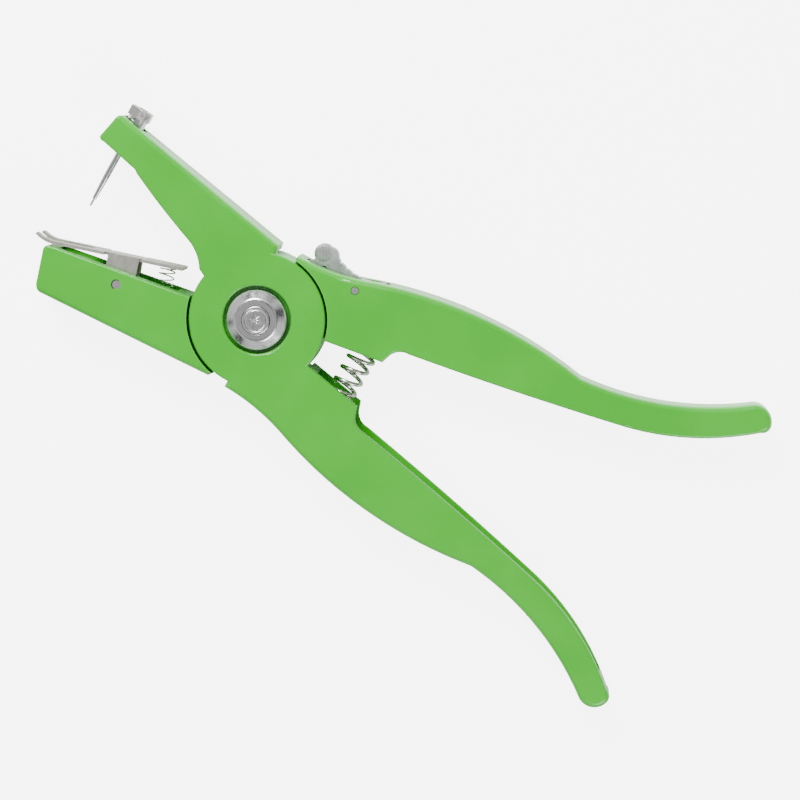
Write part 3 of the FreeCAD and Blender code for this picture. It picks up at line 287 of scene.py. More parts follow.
def wire_turned_rings(sheet: NodeSheet, given: Mapping[str, bpy.types.NodeSocket]
                      ) -> tuple[bpy.types.NodeSocket, ...]:
    """Fine rings that a lathe leaves round an axis.

    Args:
        sheet: The group's node sheet.
        given: The group's inputs by name; Plane keeps the two directions across the axis.

    Returns:
        Height and shade of the rings.
    """
    offset = sheet.add("ShaderNodeVectorMath", {0: given["Place"], 1: given["Centre"]},
                       operation="SUBTRACT").outputs[0]
    across = sheet.scaled(offset, given["Plane"])
    radius = sheet.add("ShaderNodeVectorMath", {0: across}, operation="LENGTH").outputs["Value"]
    rings = sheet.math("SINE", sheet.math("DIVIDE", sheet.math("MULTIPLY", radius, 2 * math.pi),
                                          given["Pitch"]))
    spread = sheet.add("ShaderNodeTexNoise", {"W": sheet.math("DIVIDE", radius, given["Pitch"]),
                                              "Scale": 0.8, "Detail": 3.0},
                       noise_dimensions="1D").outputs[0]
    return sheet.math("MULTIPLY", sheet.math("MULTIPLY_ADD", rings, 0.35, 0.5), spread), spread


def wire_brushed(sheet: NodeSheet, given: Mapping[str, bpy.types.NodeSocket]
                 ) -> tuple[bpy.types.NodeSocket, ...]:
    """Brushed, drawn or ground metal: long fine scratches with a few deeper ones.

    Args:
        sheet: The group's node sheet.
        given: The group's inputs by name; Stretch scales the place along each axis.

    Returns:
        Height and shade of the scratches.
    """
    long = sheet.scaled(given["Place"], given["Stretch"])
    fine = sheet.noise(long, given["Density"], detail=3.0, roughness=0.7)
    deep = sheet.noise(long, sheet.math("MULTIPLY", given["Density"], 0.3), detail=2.0)
    return sheet.math("MULTIPLY_ADD", sheet.fit(deep, 0.58, 0.7), -0.6, fine), fine


def wire_hatch(sheet: NodeSheet, given: Mapping[str, bpy.types.NodeSocket]
               ) -> tuple[bpy.types.NodeSocket, ...]:
    """Crossed fine grooves of a knurl, pressed across the pivot axis.

    Args:
        sheet: The group's node sheet.
        given: The group's inputs by name.

    Returns:
        Height of the hatch.
    """
    parts = sheet.add("ShaderNodeSeparateXYZ", {0: given["Place"]}).outputs
    turn = sheet.math("DIVIDE", 2 * math.pi, given["Pitch"])
    waves = []
    for lean in (0.55, -1.7):
        slant = sheet.math("MULTIPLY_ADD", parts["Y"], lean, parts["X"])
        waves.append(sheet.math("ABSOLUTE", sheet.math("SINE", sheet.math("MULTIPLY", slant, turn))))
    return (sheet.math("MULTIPLY", *waves),)


VECTOR = "NodeSocketVector"
FLOAT = "NodeSocketFloat"
PLACE_INPUT = ("Place", VECTOR, (0.0, 0.0, 0.0))
PAINT_SKIN = SharedEffect("paint_skin", (PLACE_INPUT, ("Peel Scale", FLOAT, 900.0),
                                         ("Shade Scale", FLOAT, 45.0)),
                          ("Height", "Shade"), wire_paint_skin)
EDGE_HIGHLIGHT_WEAR = SharedEffect("edge_highlight_wear", (PLACE_INPUT, ("Reach", FLOAT, 0.0006),
                                       ("Spot Scale", FLOAT, 260.0)),
                         ("Edge", "Rubbed"), wire_edge_wear)
CREVICE_SHADE = SharedEffect("crevice_shade", (PLACE_INPUT, ("Reach", FLOAT, 0.004)), ("Mask",), wire_crevice)
TURNED_RINGS = SharedEffect("turned_rings", (PLACE_INPUT, ("Centre", VECTOR, (0.0, 0.0, 0.0)),
                                             ("Plane", VECTOR, (1.0, 1.0, 0.0)),
                                             ("Pitch", FLOAT, 0.00035)),
                            ("Height", "Shade"), wire_turned_rings)
HATCH = SharedEffect("crossed_hatch", (PLACE_INPUT, ("Pitch", FLOAT, 0.0011)), ("Height",),
                     wire_hatch)
BRUSHED = SharedEffect("brushed_metal", (PLACE_INPUT, ("Stretch", VECTOR, (1.0, 1.0, 1.0)),
                                         ("Density", FLOAT, 2500.0)),
                       ("Height", "Shade"), wire_brushed)


@dataclass(frozen=True)
class Finish:
    """A finish of the tool; each kind of finish wires its own shader.

    Attributes:
        name: Name of the material.
        slot: The record's material slot; not used.
    """

    name: str
    slot: Slot

    def material(self) -> bpy.types.Material:
        """The finish as a material, made when it is first asked for."""
        found = bpy.data.materials.get(self.name)
        if found is not None:
            return found
        material = bpy.data.materials.new(self.name)
        material.use_nodes = True
        shader = next(node for node in material.node_tree.nodes
                      if node.type == "BSDF_PRINCIPLED")
        self.wire(NodeSheet(material.node_tree), shader)
        return material

    def wire(self, sheet: NodeSheet, shader: bpy.types.Node) -> None:
        """Feed the Principled shader of this finish."""
        raise NotImplementedError

    def dress(self, piece: bpy.types.Object) -> None:
        """Give a piece this finish on every one of its slots."""
        if not piece.data.materials:
            piece.data.materials.append(self.material())
        for holder in piece.material_slots:
            holder.material = self.material()


@dataclass(frozen=True)
class GreenPaint(Finish):
    """Gloss enamel sprayed on die-cast aluminium.

    Attributes:
        peel: How strongly the orange peel shows.
        peel_scale: Its waves per metre.
    """

    peel: float = 0.1
    peel_scale: float = 800.0

    def wire(self, sheet: NodeSheet, shader: bpy.types.Node) -> None:
        """Green with a slow change of tone, a painted highlight along the edges, spots rubbed bare
        and painted shade in the corners.
        """
        place = sheet.place()
        skin = PAINT_SKIN.put(sheet, place=place, peel_scale=self.peel_scale, shade_scale=38.0)
        edge = EDGE_HIGHLIGHT_WEAR.put(sheet, place=place, reach=0.0007, spot_scale=230.0)
        crevice_shade = CREVICE_SHADE.put(sheet, place=place, reach=0.005)
        coat = sheet.mix(sheet.fit(skin["Shade"], 0.3, 0.7), (0.04, 0.5, 0.013, 1.0),
                         (0.05, 0.55, 0.017, 1.0))
        # Painted highlight: light green along the rounded edges.
        edge_highlighted = sheet.mix(sheet.math("MULTIPLY", edge["Edge"], 0.6), coat, (0.2, 0.78, 0.1, 1.0))
        bare = sheet.mix(sheet.math("MULTIPLY", edge["Rubbed"], 0.12), edge_highlighted,
                         (0.45, 0.56, 0.42, 1.0))
        # Painted shade: dark green in the corners and gaps.
        shaded = sheet.mix(sheet.math("MULTIPLY", crevice_shade["Mask"], 0.8), bare,
                           (0.006, 0.075, 0.004, 1.0))
        sheet.feed(shader.inputs["Base Color"], shaded)
        sheet.feed(shader.inputs["Roughness"], sheet.fit(skin["Shade"], 0.2, 0.8, 0.26, 0.36))
        sheet.feed(shader.inputs["Normal"], sheet.bump(skin["Height"], self.peel, 0.0002))
        shader.inputs["Coat Weight"].default_value = 0.55
        shader.inputs["Coat Roughness"].default_value = 0.06
        shader.inputs["Specular IOR Level"].default_value = 0.45


@dataclass(frozen=True)
class TurnedSteel(Finish):
    """Steel polished on a lathe.

    Attributes:
        centre: A point of the lathe's axis.
        plane: 1 for each direction across the axis, 0 along it.
        tone: Colour of the metal.
        roughness: Least and most roughness.
    """

    centre: tuple[float, float, float] = (0.0, 0.0, 0.0)
    plane: tuple[float, float, float] = (1.0, 1.0, 0.0)
    tone: tuple[float, float, float, float] = (0.88, 0.88, 0.89, 1.0)
    roughness: tuple[float, float] = (0.16, 0.3)

    def wire(self, sheet: NodeSheet, shader: bpy.types.Node) -> None:
        """Bright metal with fine rings, a few handling marks, a painted highlight along the edges
        and painted shade in the corners.
        """
        place = sheet.place()
        rings = TURNED_RINGS.put(sheet, place=place, centre=self.centre, plane=self.plane,
                                 pitch=0.00032)
        edge = EDGE_HIGHLIGHT_WEAR.put(sheet, place=place, reach=0.0003, spot_scale=900.0)
        crevice_shade = CREVICE_SHADE.put(sheet, place=place, reach=0.0012)
        marks = sheet.noise(place, 650.0, detail=5.0, roughness=0.7)
        dull = tuple(0.82 * part for part in self.tone[:3]) + (1.0,)
        toned = sheet.mix(sheet.fit(rings["Shade"], 0.35, 0.65), dull, self.tone)
        # Painted highlight: near-white along the edges.
        bright = sheet.mix(sheet.math("MULTIPLY", edge["Edge"], 0.5), toned, (0.95, 0.95, 0.96, 1.0))
        # Painted shade: near-black in the corners and gaps.
        shaded = sheet.mix(sheet.math("MULTIPLY", crevice_shade["Mask"], 0.4), bright,
                           (0.09, 0.095, 0.09, 1.0))
        sheet.feed(shader.inputs["Base Color"], shaded)
        sheet.feed(shader.inputs["Roughness"], sheet.fit(marks, 0.3, 0.75, *self.roughness))
        sheet.feed(shader.inputs["Normal"], sheet.bump(rings["Height"], 0.12, 0.00003))
        shader.inputs["Metallic"].default_value = 1.0


@dataclass(frozen=True)
class BrushedMetal(Finish):
    """Sheet, wire, pin or needle with scratches along one direction.

    Attributes:
        tone: Colour of the metal.
        grain: Direction of the scratches.
        density: Scratches per metre across them.
        roughness: Least and most roughness.
        relief: Strength of the scratches.
    """

    tone: tuple[float, float, float, float] = (0.7, 0.7, 0.7, 1.0)
    grain: Grain = Grain.ALONG_X
    density: float = 3000.0
    roughness: tuple[float, float] = (0.22, 0.42)
    relief: float = 0.2

    def wire(self, sheet: NodeSheet, shader: bpy.types.Node) -> None:
        """Streaked metal with a painted highlight along the edges and painted shade in the corners.
        """
        place = sheet.place()
        grain = BRUSHED.put(sheet, place=place, stretch=self.grain.value, density=self.density)
        edge = EDGE_HIGHLIGHT_WEAR.put(sheet, place=place, reach=0.00025, spot_scale=700.0)
        crevice_shade = CREVICE_SHADE.put(sheet, place=place, reach=0.0025)
        dull = tuple(0.84 * part for part in self.tone[:3]) + (1.0,)
        toned = sheet.mix(sheet.fit(grain["Shade"], 0.3, 0.65), dull, self.tone)
        # Painted highlight: near-white along the edges.
        bright = sheet.mix(sheet.math("MULTIPLY", edge["Edge"], 0.45), toned, (0.93, 0.92, 0.9, 1.0))
        # Painted shade: near-black in the corners and gaps.
        shaded = sheet.mix(sheet.math("MULTIPLY", crevice_shade["Mask"], 0.6), bright,
                           (0.05, 0.055, 0.045, 1.0))
        sheet.feed(shader.inputs["Base Color"], shaded)
        sheet.feed(shader.inputs["Roughness"], sheet.fit(grain["Shade"], 0.3, 0.7,
                                                         *self.roughness))
        sheet.feed(shader.inputs["Normal"], sheet.bump(grain["Height"], self.relief, 0.00004))
        shader.inputs["Metallic"].default_value = 1.0


@dataclass(frozen=True)
class CastMetal(Finish):
    """Grey zinc casting with a sandy skin; its edges are rubbed and carry a painted highlight.

    Attributes:
        tone: Colour of the skin.
        worn_and_lit: Colour of the lighter edges, partly rubbed metal and partly a painted
            highlight.
        hatched: How strongly a crossed knurl shows on it.
    """

    tone: tuple[float, float, float, float] = (0.62, 0.62, 0.63, 1.0)
    worn_and_lit: tuple[float, float, float, float] = (0.86, 0.86, 0.87, 1.0)
    hatched: float = 0.0

    def wire(self, sheet: NodeSheet, shader: bpy.types.Node) -> None:
        """Sandy grey metal with lighter edges, painted shade in the knurl's grooves and painted
        shade in the corners.
        """
        place = sheet.place()
        skin = PAINT_SKIN.put(sheet, place=place, peel_scale=4200.0, shade_scale=320.0)
        edge = EDGE_HIGHLIGHT_WEAR.put(sheet, place=place, reach=0.0004, spot_scale=600.0)
        crevice_shade = CREVICE_SHADE.put(sheet, place=place, reach=0.0018)
        dark = tuple(0.7 * part for part in self.tone[:3]) + (1.0,)
        toned = sheet.mix(sheet.fit(skin["Shade"], 0.3, 0.7), dark, self.tone)
        hatch = HATCH.put(sheet, place=place, pitch=0.0012)["Height"]
        # Painted shade in the knurl's grooves: the grooves darken towards a near-black of the tone.
        groove_shade = tuple(0.22 * part for part in self.tone[:3]) + (1.0,)
        groove_shaded = sheet.mix(sheet.fit(hatch, 0.32, 0.08, 0.0, self.hatched), toned, groove_shade)
        # Lighter and smoother edges: partly rubbed metal, partly a painted highlight.
        bright = sheet.mix(sheet.math("MULTIPLY", edge["Edge"], 0.8), groove_shaded, self.worn_and_lit)
        # Painted shade: near-black in the corners and gaps.
        shaded = sheet.mix(sheet.math("MULTIPLY", crevice_shade["Mask"], 0.75), bright,
                           (0.03, 0.03, 0.03, 1.0))
        sheet.feed(shader.inputs["Base Color"], shaded)
        sheet.feed(shader.inputs["Roughness"], sheet.fit(edge["Edge"], 0.0, 1.0, 0.5, 0.28))
        relief = sheet.math("MULTIPLY_ADD", hatch, 2.0 * self.hatched, skin["Height"])
        sheet.feed(shader.inputs["Normal"], sheet.bump(relief, 0.3, 0.00006))
        shader.inputs["Metallic"].default_value = 0.75


FRONT_PAINT = GreenPaint("green_enamel", Slot.GREEN_CASTING, peel=0.06, peel_scale=620.0)
HANDLE_PAINT = GreenPaint("green_enamel_peeled", Slot.GREEN_CASTING, peel=0.16, peel_scale=700.0)
PIVOT_STEEL = TurnedSteel("turned_pivot_steel", Slot.BRIGHT_STEEL)
PLUG_STEEL = TurnedSteel("turned_plug_steel", Slot.BRIGHT_STEEL, centre=(-0.0714, 0.0, 0.01),
                         plane=(1.0, 0.0, 1.0), tone=(0.74, 0.73, 0.71, 1.0))
PIN_STEEL = BrushedMetal("ground_pin_steel", Slot.PLAIN_STEEL, tone=(0.74, 0.74, 0.74, 1.0),
                         grain=Grain.ALONG_Z, density=4200.0, relief=0.1)
NEEDLE_STEEL = BrushedMetal("drawn_needle_steel", Slot.PLAIN_STEEL, tone=(0.8, 0.8, 0.81, 1.0),
                            grain=Grain.ALONG_Y, density=5200.0, roughness=(0.12, 0.24),
                            relief=0.06)
CLIP_NICKEL = BrushedMetal("brushed_nickel_sheet", Slot.NICKEL_SHEET,
                           tone=(0.9, 0.87, 0.8, 1.0), grain=Grain.ALONG_Y, density=3600.0,
                           roughness=(0.3, 0.42), relief=0.12)
WIRE_NICKEL = BrushedMetal("bright_spring_wire", Slot.SPRING_WIRE, tone=(0.84, 0.82, 0.77, 1.0),
                           grain=Grain.ALONG_X, density=3800.0, roughness=(0.1, 0.2),
                           relief=0.05)
LATCH_ZINC = CastMetal("sandy_latch_zinc", Slot.CAST_LATCH)
KNOB_ZINC = CastMetal("knurled_knob_zinc", Slot.CAST_LATCH, hatched=0.85)
# Near-black finish of the pin rims: painted shade of the gap round each pin.
RIM_GAP_SHADE = CastMetal("pin_gap_shade", Slot.PLAIN_STEEL, tone=(0.035, 0.04, 0.03, 1.0),
                      worn_and_lit=(0.09, 0.1, 0.08, 1.0))


def add_piece(name: str, mesh: bmesh.types.BMesh, finish: Finish, body: Body) -> bpy.types.Object:
    """Turn a finished bmesh into a smooth piece that rides on a body.

    Args:
        name: Name of the piece.
        mesh: Its faces; they are freed here.
        finish: Its finish.
        body: The body that it moves with.

    Returns:
        The new object.
    """
    bmesh.ops.recalc_face_normals(mesh, faces=mesh.faces)
    data = bpy.data.meshes.new(name)
    mesh.to_mesh(data)
    mesh.free()
    data.shade_smooth()
    data.set_sharp_from_angle(angle=SHARP_EDGE)
    piece = bpy.data.objects.new(name, data)
    bpy.context.scene.collection.objects.link(piece)
    finish.dress(piece)
    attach(piece, body.value)
    return piece


def skin_rings(mesh: bmesh.types.BMesh, rings: Sequence[Sequence[Vector]],
               capped: bool = True) -> None:
    """Join closed rings of equal length with quads, and close the two ends with fans.

    Args:
        mesh: Where the faces go.
        rings: Points of each ring in order.
        capped: Whether the first and the last ring are closed.
    """
    rows = [[mesh.verts.new(point) for point in ring] for ring in rings]
    count = len(rows[0])
    for low, high in zip(rows, rows[1:]):
        for step in range(count):
            after = (step + 1) % count
            mesh.faces.new((low[step], low[after], high[after], high[step]))
    if not capped:
        return
    for row in (rows[0], rows[-1]):
        middle = mesh.verts.new(sum((vert.co for vert in row), Vector()) / count)
        for step in range(count):
            mesh.faces.new((row[step], row[(step + 1) % count], middle))


@dataclass
class CoilSpring:
    """Compression spring of round wire with closed, ground ends.

    Attributes:
        node: The CAD node that it stands for, which also names the piece.
        joint: The joint that presses it together; not used.
        foot: Centre of its still end.
        axis: Direction from the still end to the other end.
        length: Free length between its ground ends.
        mean_radius: Radius of the wire's centre line.
        wire: Diameter of the wire.
        turns: All turns, with the closed ones.
        keep: Share of its length at the joint's limit; not used.
        press: Direction in which it is pressed, if not along its axis; not used.
        bow: How far its middle bulges sideways.
        closed_turns: Closed turns at each end.
        steps_per_turn: Sections of the wire in a turn.
        sides: Sides of a section.
    """

    node: str
    joint: str
    foot: Vector
    axis: Vector
    length: float
    mean_radius: float
    wire: float
    turns: float
    keep: float
    press: Vector | None = None
    bow: float = 0.0
    closed_turns: float = 0.9
    steps_per_turn: int = 40
    sides: int = 14

    def climb(self, turn: float) -> float:
        """Height of the wire's centre line after a number of turns."""
        dead = self.wire / 2
        closed = self.closed_turns
        shut = 0.9 * self.wire * closed
        free = self.length - 2 * dead - 2 * shut
        if turn < closed:
            return dead + shut * turn / closed
        if turn > self.turns - closed:
            return self.length - dead - shut * (self.turns - turn) / closed
        share = (turn - closed) / (self.turns - 2 * closed)
        return dead + shut + free * (share - 0.06 * math.sin(2 * math.pi * share))

    def centre_line(self) -> list[Vector]:
        """Points of the wire's centre line, in the tool's frame."""
        axis = self.axis.normalized()
        side = axis.cross(Vector((0, 0, 1))).normalized()
        third = axis.cross(side)
        points = []
        count = int(self.turns * self.steps_per_turn)
        for step in range(count + 1):
            turn = self.turns * step / count
            angle = 2 * math.pi * turn
            height = self.climb(turn)
            bulge = self.bow * math.sin(math.pi * height / self.length)
            points.append(self.foot + axis * height
                          + side * (self.mean_radius * math.cos(angle) + bulge)
                          + third * (self.mean_radius * math.sin(angle)))
        return points

    def grind(self, point: Vector) -> Vector:
        """A point of the wire's skin, held between the two ground ends."""
        axis = self.axis.normalized()
        height = (point - self.foot).dot(axis)
        return point + axis * (min(max(height, 0.0), self.length) - height)

    def build(self) -> bpy.types.Object:
        """Sweep the wire and grind its ends flat."""
        line = self.centre_line()
        axis = self.axis.normalized()
        rings = []
        for number, point in enumerate(line):
            ahead = line[min(number + 1, len(line) - 1)] - line[max(number - 1, 0)]
            outward = ahead.cross(axis).normalized()
            upward = outward.cross(ahead).normalized()
            rings.append([self.grind(point + (outward * math.cos(angle) + upward * math.sin(angle))
                                     * self.wire / 2)
                          for angle in (2 * math.pi * step / self.sides
                                        for step in range(self.sides))])
        mesh = bmesh.new()
        skin_rings(mesh, rings)
        piece = add_piece(self.node + "_coil", mesh, WIRE_NICKEL, Body.LOWER_LEVER)
        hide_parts(self.node)
        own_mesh(piece)
        return piece


@dataclass
class Springs:
    """The three springs of the tool, each set between its CAD seats."""

    clip_tilt: float = math.radians(18)
    closing: float = math.radians(20)
    seat_room: float = 0.3 * MM

    def return_spring(self) -> CoilSpring:
        """Heavy spring between the handles."""
        low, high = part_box("return_spring")
        middle = (low + high) / 2
        top = Vector((middle.x, high.y, middle.z))
        seat = Vector((middle.x, low.y, middle.z))
        swung = Matrix.Rotation(self.closing, 3, "Z") @ seat
        press = (swung - seat).normalized()
        tilt_room = (high.x - low.x) / 2 * math.sin(self.closing) + self.seat_room
        travel = (swung - seat).length + tilt_room
        reach = (top - seat).dot(press)
        return CoilSpring("return_spring", "lever_pivot", top, Vector((0, -1, 0)),
                          high.y - low.y, 4.5 * MM, 1.5 * MM, 8.5,
                          keep=1 - travel / reach, press=press, bow=0.35 * MM)

    def clip_spring(self) -> CoilSpring:
        """Light spring that lifts the tail of the clip."""
        low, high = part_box("clip_spring")
        normal = Vector((-math.sin(self.clip_tilt), math.cos(self.clip_tilt), 0))
        length = 9.4 * MM
        return CoilSpring("clip_spring", "clip_hinge", (low + high) / 2 - normal * length / 2,
                          normal, length, 2.7 * MM, 0.5 * MM, 5.5, keep=0.62, closed_turns=0.6)

    def latch_spring(self) -> CoilSpring:
        """Tiny spring under the arm of the latch."""
        low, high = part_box("latch_spring")
        middle = (low + high) / 2
        return CoilSpring("latch_spring", "latch_hinge", Vector((middle.x, low.y, middle.z)),
                          Vector((0, 1, 0)), high.y - low.y, 1.5 * MM, 0.4 * MM, 4.5,
                          keep=0.7, closed_turns=0.6, steps_per_turn=28, sides=10)

    def build(self) -> list[bpy.types.Object]:
        """Make the three springs."""
        springs = (self.return_spring(), self.clip_spring(), self.latch_spring())
        return [spring.build() for spring in springs]


@dataclass
class PivotRivet:
    """Pivot rivet with formed ends: a lip, a shallow ring groove and a star-shaped punch mark.

    Attributes:
        punch_depth: Depth of the middle of the punch mark.
        punch_radius: Reach of its arms.
        arms: Number of its arms.
        groove_radius: Radius of the ring groove.
        groove_depth: Depth of that groove.
        lip: How far the formed ends spread over the shank.
        lip_half: Half the height of a lip.
        neck: Height of a formed end, with its lip.
        sides: Points round the rivet.
        face_rings: Rings on each formed face.
    """

    punch_depth: float = 0.32 * MM
    punch_radius: float = 2.7 * MM
    arms: int = 5
    groove_radius: float = 3.75 * MM
    groove_depth: float = 0.16 * MM
    lip: float = 0.35 * MM
    lip_half: float = 0.15 * MM
    neck: float = 0.5 * MM
    sides: int = 96
    face_rings: int = 34

    def sunk(self, radius: float, angle: float) -> float:
        """Depth of the formed end below its rim at a place of its face."""
        star = 0.55 + 0.45 * math.cos(self.arms * angle + 0.6) + 0.12 * math.sin(3 * angle)
        reach = self.punch_radius * (0.42 + 0.58 * max(star, 0.0))
        share = min(radius / reach, 1.0)
        punch = self.punch_depth * (1 - share * share) * (0.7 + 0.3 * math.cos(9 * angle) * share)
        groove = self.groove_depth * math.exp(-((radius - self.groove_radius) / (0.28 * MM)) ** 2)
        return punch + groove

    def build(self) -> bpy.types.Object:
        """Lathe the shank between its formed ends and press the marks into both faces."""
        low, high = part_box("pivot_rivet")
        rim = (high.x - low.x) / 2
        shank = rim - self.lip
        profile = [(shank, low.z, -1), (rim, low.z + self.lip_half, 0),
                   (shank, low.z + self.neck, 0), (shank, high.z - self.neck, 0),
                   (rim, high.z - self.lip_half, 0), (shank, high.z, 1)]
        inner = [shank * (1 - step / self.face_rings) for step in range(1, self.face_rings)]
        profile = ([(radius, low.z, -1) for radius in reversed(inner)] + profile
                   + [(radius, high.z, 1) for radius in inner])
        rings = []
        for radius, height, face in profile:
            ring = []
            for step in range(self.sides):
                angle = 2 * math.pi * step / self.sides
                drop = self.sunk(radius, angle) * (1.0 if face > 0 else 0.5) if face else 0.0
                ring.append(Vector((radius * math.cos(angle), radius * math.sin(angle),
                                    height - face * drop)))
            rings.append(ring)
        mesh = bmesh.new()
        skin_rings(mesh, rings)
        piece = add_piece("pivot_rivet_formed", mesh, PIVOT_STEEL, Body.LOWER_LEVER)
        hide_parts("pivot_rivet")
        return piece


@dataclass
class FrontWasher:
    """Thick polished washer under the front end of the rivet: a rim, a cone and a flat land.

    Attributes:
        rim: Height of the straight rim over the foot of the washer.
        land: Radius where the cone meets the land.
        bore: Radius of the hole, at the rivet's lip.
        soft: Rounding of its two outer corners.
        sides: Points round the washer.
    """

    rim: float = 3.3 * MM
    land: float = 7.4 * MM
    bore: float = 4.9 * MM
    soft: float = 0.22 * MM
    sides: int = 128

    def build(self) -> bpy.types.Object:
        """Lathe the washer between its CAD foot and land."""
        low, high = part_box("pivot_washer_front")
        radius = (high.x - low.x) / 2
        slope = Vector((self.land - radius, high.z - low.z - self.rim)).normalized()
        rim_top = Vector((radius, low.z + self.rim))
        land_edge = Vector((self.land, high.z))
        profile = [(self.bore, low.z), (radius - self.soft, low.z), (radius, low.z + self.soft),
                   (radius, rim_top.y - self.soft), tuple(rim_top + slope * self.soft),
                   tuple(rim_top + slope * 4 * self.soft),
                   tuple(land_edge - slope * 3 * self.soft), tuple(land_edge - slope * self.soft),
                   (self.land - self.soft, high.z), (self.land - 4 * self.soft, high.z),
                   (self.bore + 3 * self.soft, high.z), (self.bore + self.soft, high.z),
                   (self.bore, high.z - self.soft), (self.bore, low.z)]
        mesh = bmesh.new()
        skin_rings(mesh, [[Vector((reach * math.cos(angle), reach * math.sin(angle), height))
                           for angle in (2 * math.pi * step / self.sides
                                         for step in range(self.sides))]
                          for reach, height in profile], capped=False)
        bmesh.ops.remove_doubles(mesh, verts=mesh.verts, dist=0.001 * MM)
        piece = add_piece("pivot_washer_polished", mesh, PIVOT_STEEL, Body.LOWER_LEVER)
        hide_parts("pivot_washer_front")
        return piece


@dataclass
class LatchKnob:
    """Knurled cap over the round knob of the latch, with a slightly domed face.

    Attributes:
        radius: Radius of the CAD knob.
        ridge: Height of the knurl over it.
        ridges: Number of ridges.
        crown: Fall of the domed face towards its rim.
        stand: Height of the cap over each face of the CAD knob.
    """

    radius: float = 3.3 * MM
    ridge: float = 0.16 * MM
    ridges: int = 30
    crown: float = 0.35 * MM
    stand: float = 0.12 * MM

    def build(self) -> bpy.types.Object:
        """Skin the knurl from face to face and dome both ends."""
        low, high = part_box("lock_latch")
        centre = Vector((low.x + self.radius, high.y - self.radius, 0.0))
        bottom, top = low.z - self.stand, high.z + self.stand
        levels = []
        for share in (0.2, 0.45, 0.7, 0.86):
            levels.append((share, bottom + self.crown * share ** 3 * 0.5, 0.0))
        levels += [(0.96, bottom + self.crown, 0.35), (1.0, bottom + 1.7 * self.crown, 1.0),
                   (1.0, top - 1.7 * self.crown, 1.0), (0.96, top - self.crown, 0.35)]
        for share in (0.86, 0.7, 0.45, 0.2):
            levels.append((share, top - self.crown * share ** 3 * 0.5, 0.0))
        sides = self.ridges * 6
        rings = []
        for share, height, knurl in levels:
            ring = []
            for step in range(sides):
                angle = 2 * math.pi * step / sides
                wave = abs(math.sin(self.ridges * angle / 2))
                reach = self.radius * share + self.ridge * knurl * wave
                ring.append(centre + Vector((reach * math.cos(angle), reach * math.sin(angle),
                                             height)))
            rings.append(ring)
        mesh = bmesh.new()
        skin_rings(mesh, rings)
        return add_piece("latch_knob_knurl", mesh, KNOB_ZINC, Body.LATCH)


@dataclass
class PinRim:
    """Dark rim of a pin hole, where the pin was pressed flush with the casting: painted shade of the
    gap round the pin.

    Attributes:
        pin: The CAD node of the pin.
        body: The body that the rim rides on.
        width: Width of the rim.
        stand: Height of its crown over the end of the pin.
        sunk: Depth of its foot under the end of the pin.
        ends: Which ends of the pin have a rim; 1 is the front.
        steps: Steps over the half-round.
        sides: Points round the rim.
    """

    pin: str
    body: Body = Body.LOWER_LEVER
    width: float = 0.42 * MM
    stand: float = 0.09 * MM
    sunk: float = 0.08 * MM
    ends: tuple[int, ...] = (1,)
    steps: int = 8
    sides: int = 48

    def build(self) -> list[bpy.types.Object]:
        """Lathe a half-round rim for each end."""
        low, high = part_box(self.pin)
        middle = (low + high) / 2
        radius = (high.x - low.x) / 2
        made = []
        for end in self.ends:
            level = high.z if end > 0 else low.z
            mesh = bmesh.new()
            rings = []
            for step in range(self.steps + 1):
                turn = math.pi * step / self.steps
                reach = radius + self.width * (0.5 - 0.5 * math.cos(turn))
                height = level + end * (self.stand * math.sin(turn) - self.sunk)
                rings.append([Vector((middle.x + reach * math.cos(angle),
                                      middle.y + reach * math.sin(angle), height))
                              for angle in (2 * math.pi * number / self.sides
                                            for number in range(self.sides))])
            skin_rings(mesh, rings, capped=False)
            side = "front" if end > 0 else "back"
            made.append(add_piece(f"{self.pin}_rim_{side}", mesh, RIM_GAP_SHADE, self.body))
        return made


@dataclass
class CadDress:
    """Finishes of the CAD nodes that show as they are."""

    finishes: dict[str, Finish] = field(default_factory=lambda: {
        "upper_jaw_lever": HANDLE_PAINT,
        "lower_jaw_lever": FRONT_PAINT,
        "pivot_bush": PIN_STEEL,
        "pivot_washer_rear": PIVOT_STEEL,
        "applicator_pin": NEEDLE_STEEL,
        "pin_screw": PLUG_STEEL,
        "tag_clip": CLIP_NICKEL,
        "clip_pin": PIN_STEEL,
        "lock_latch": LATCH_ZINC,
        "latch_pin": PIN_STEEL,
    })

    def build(self, nodes: Mapping[str, bpy.types.Object]) -> None:
        """Give each CAD node its finish."""
        for name, finish in self.finishes.items():
            finish.dress(nodes[name])
            LOG.info("CAD node %s: %s", name, finish.name)


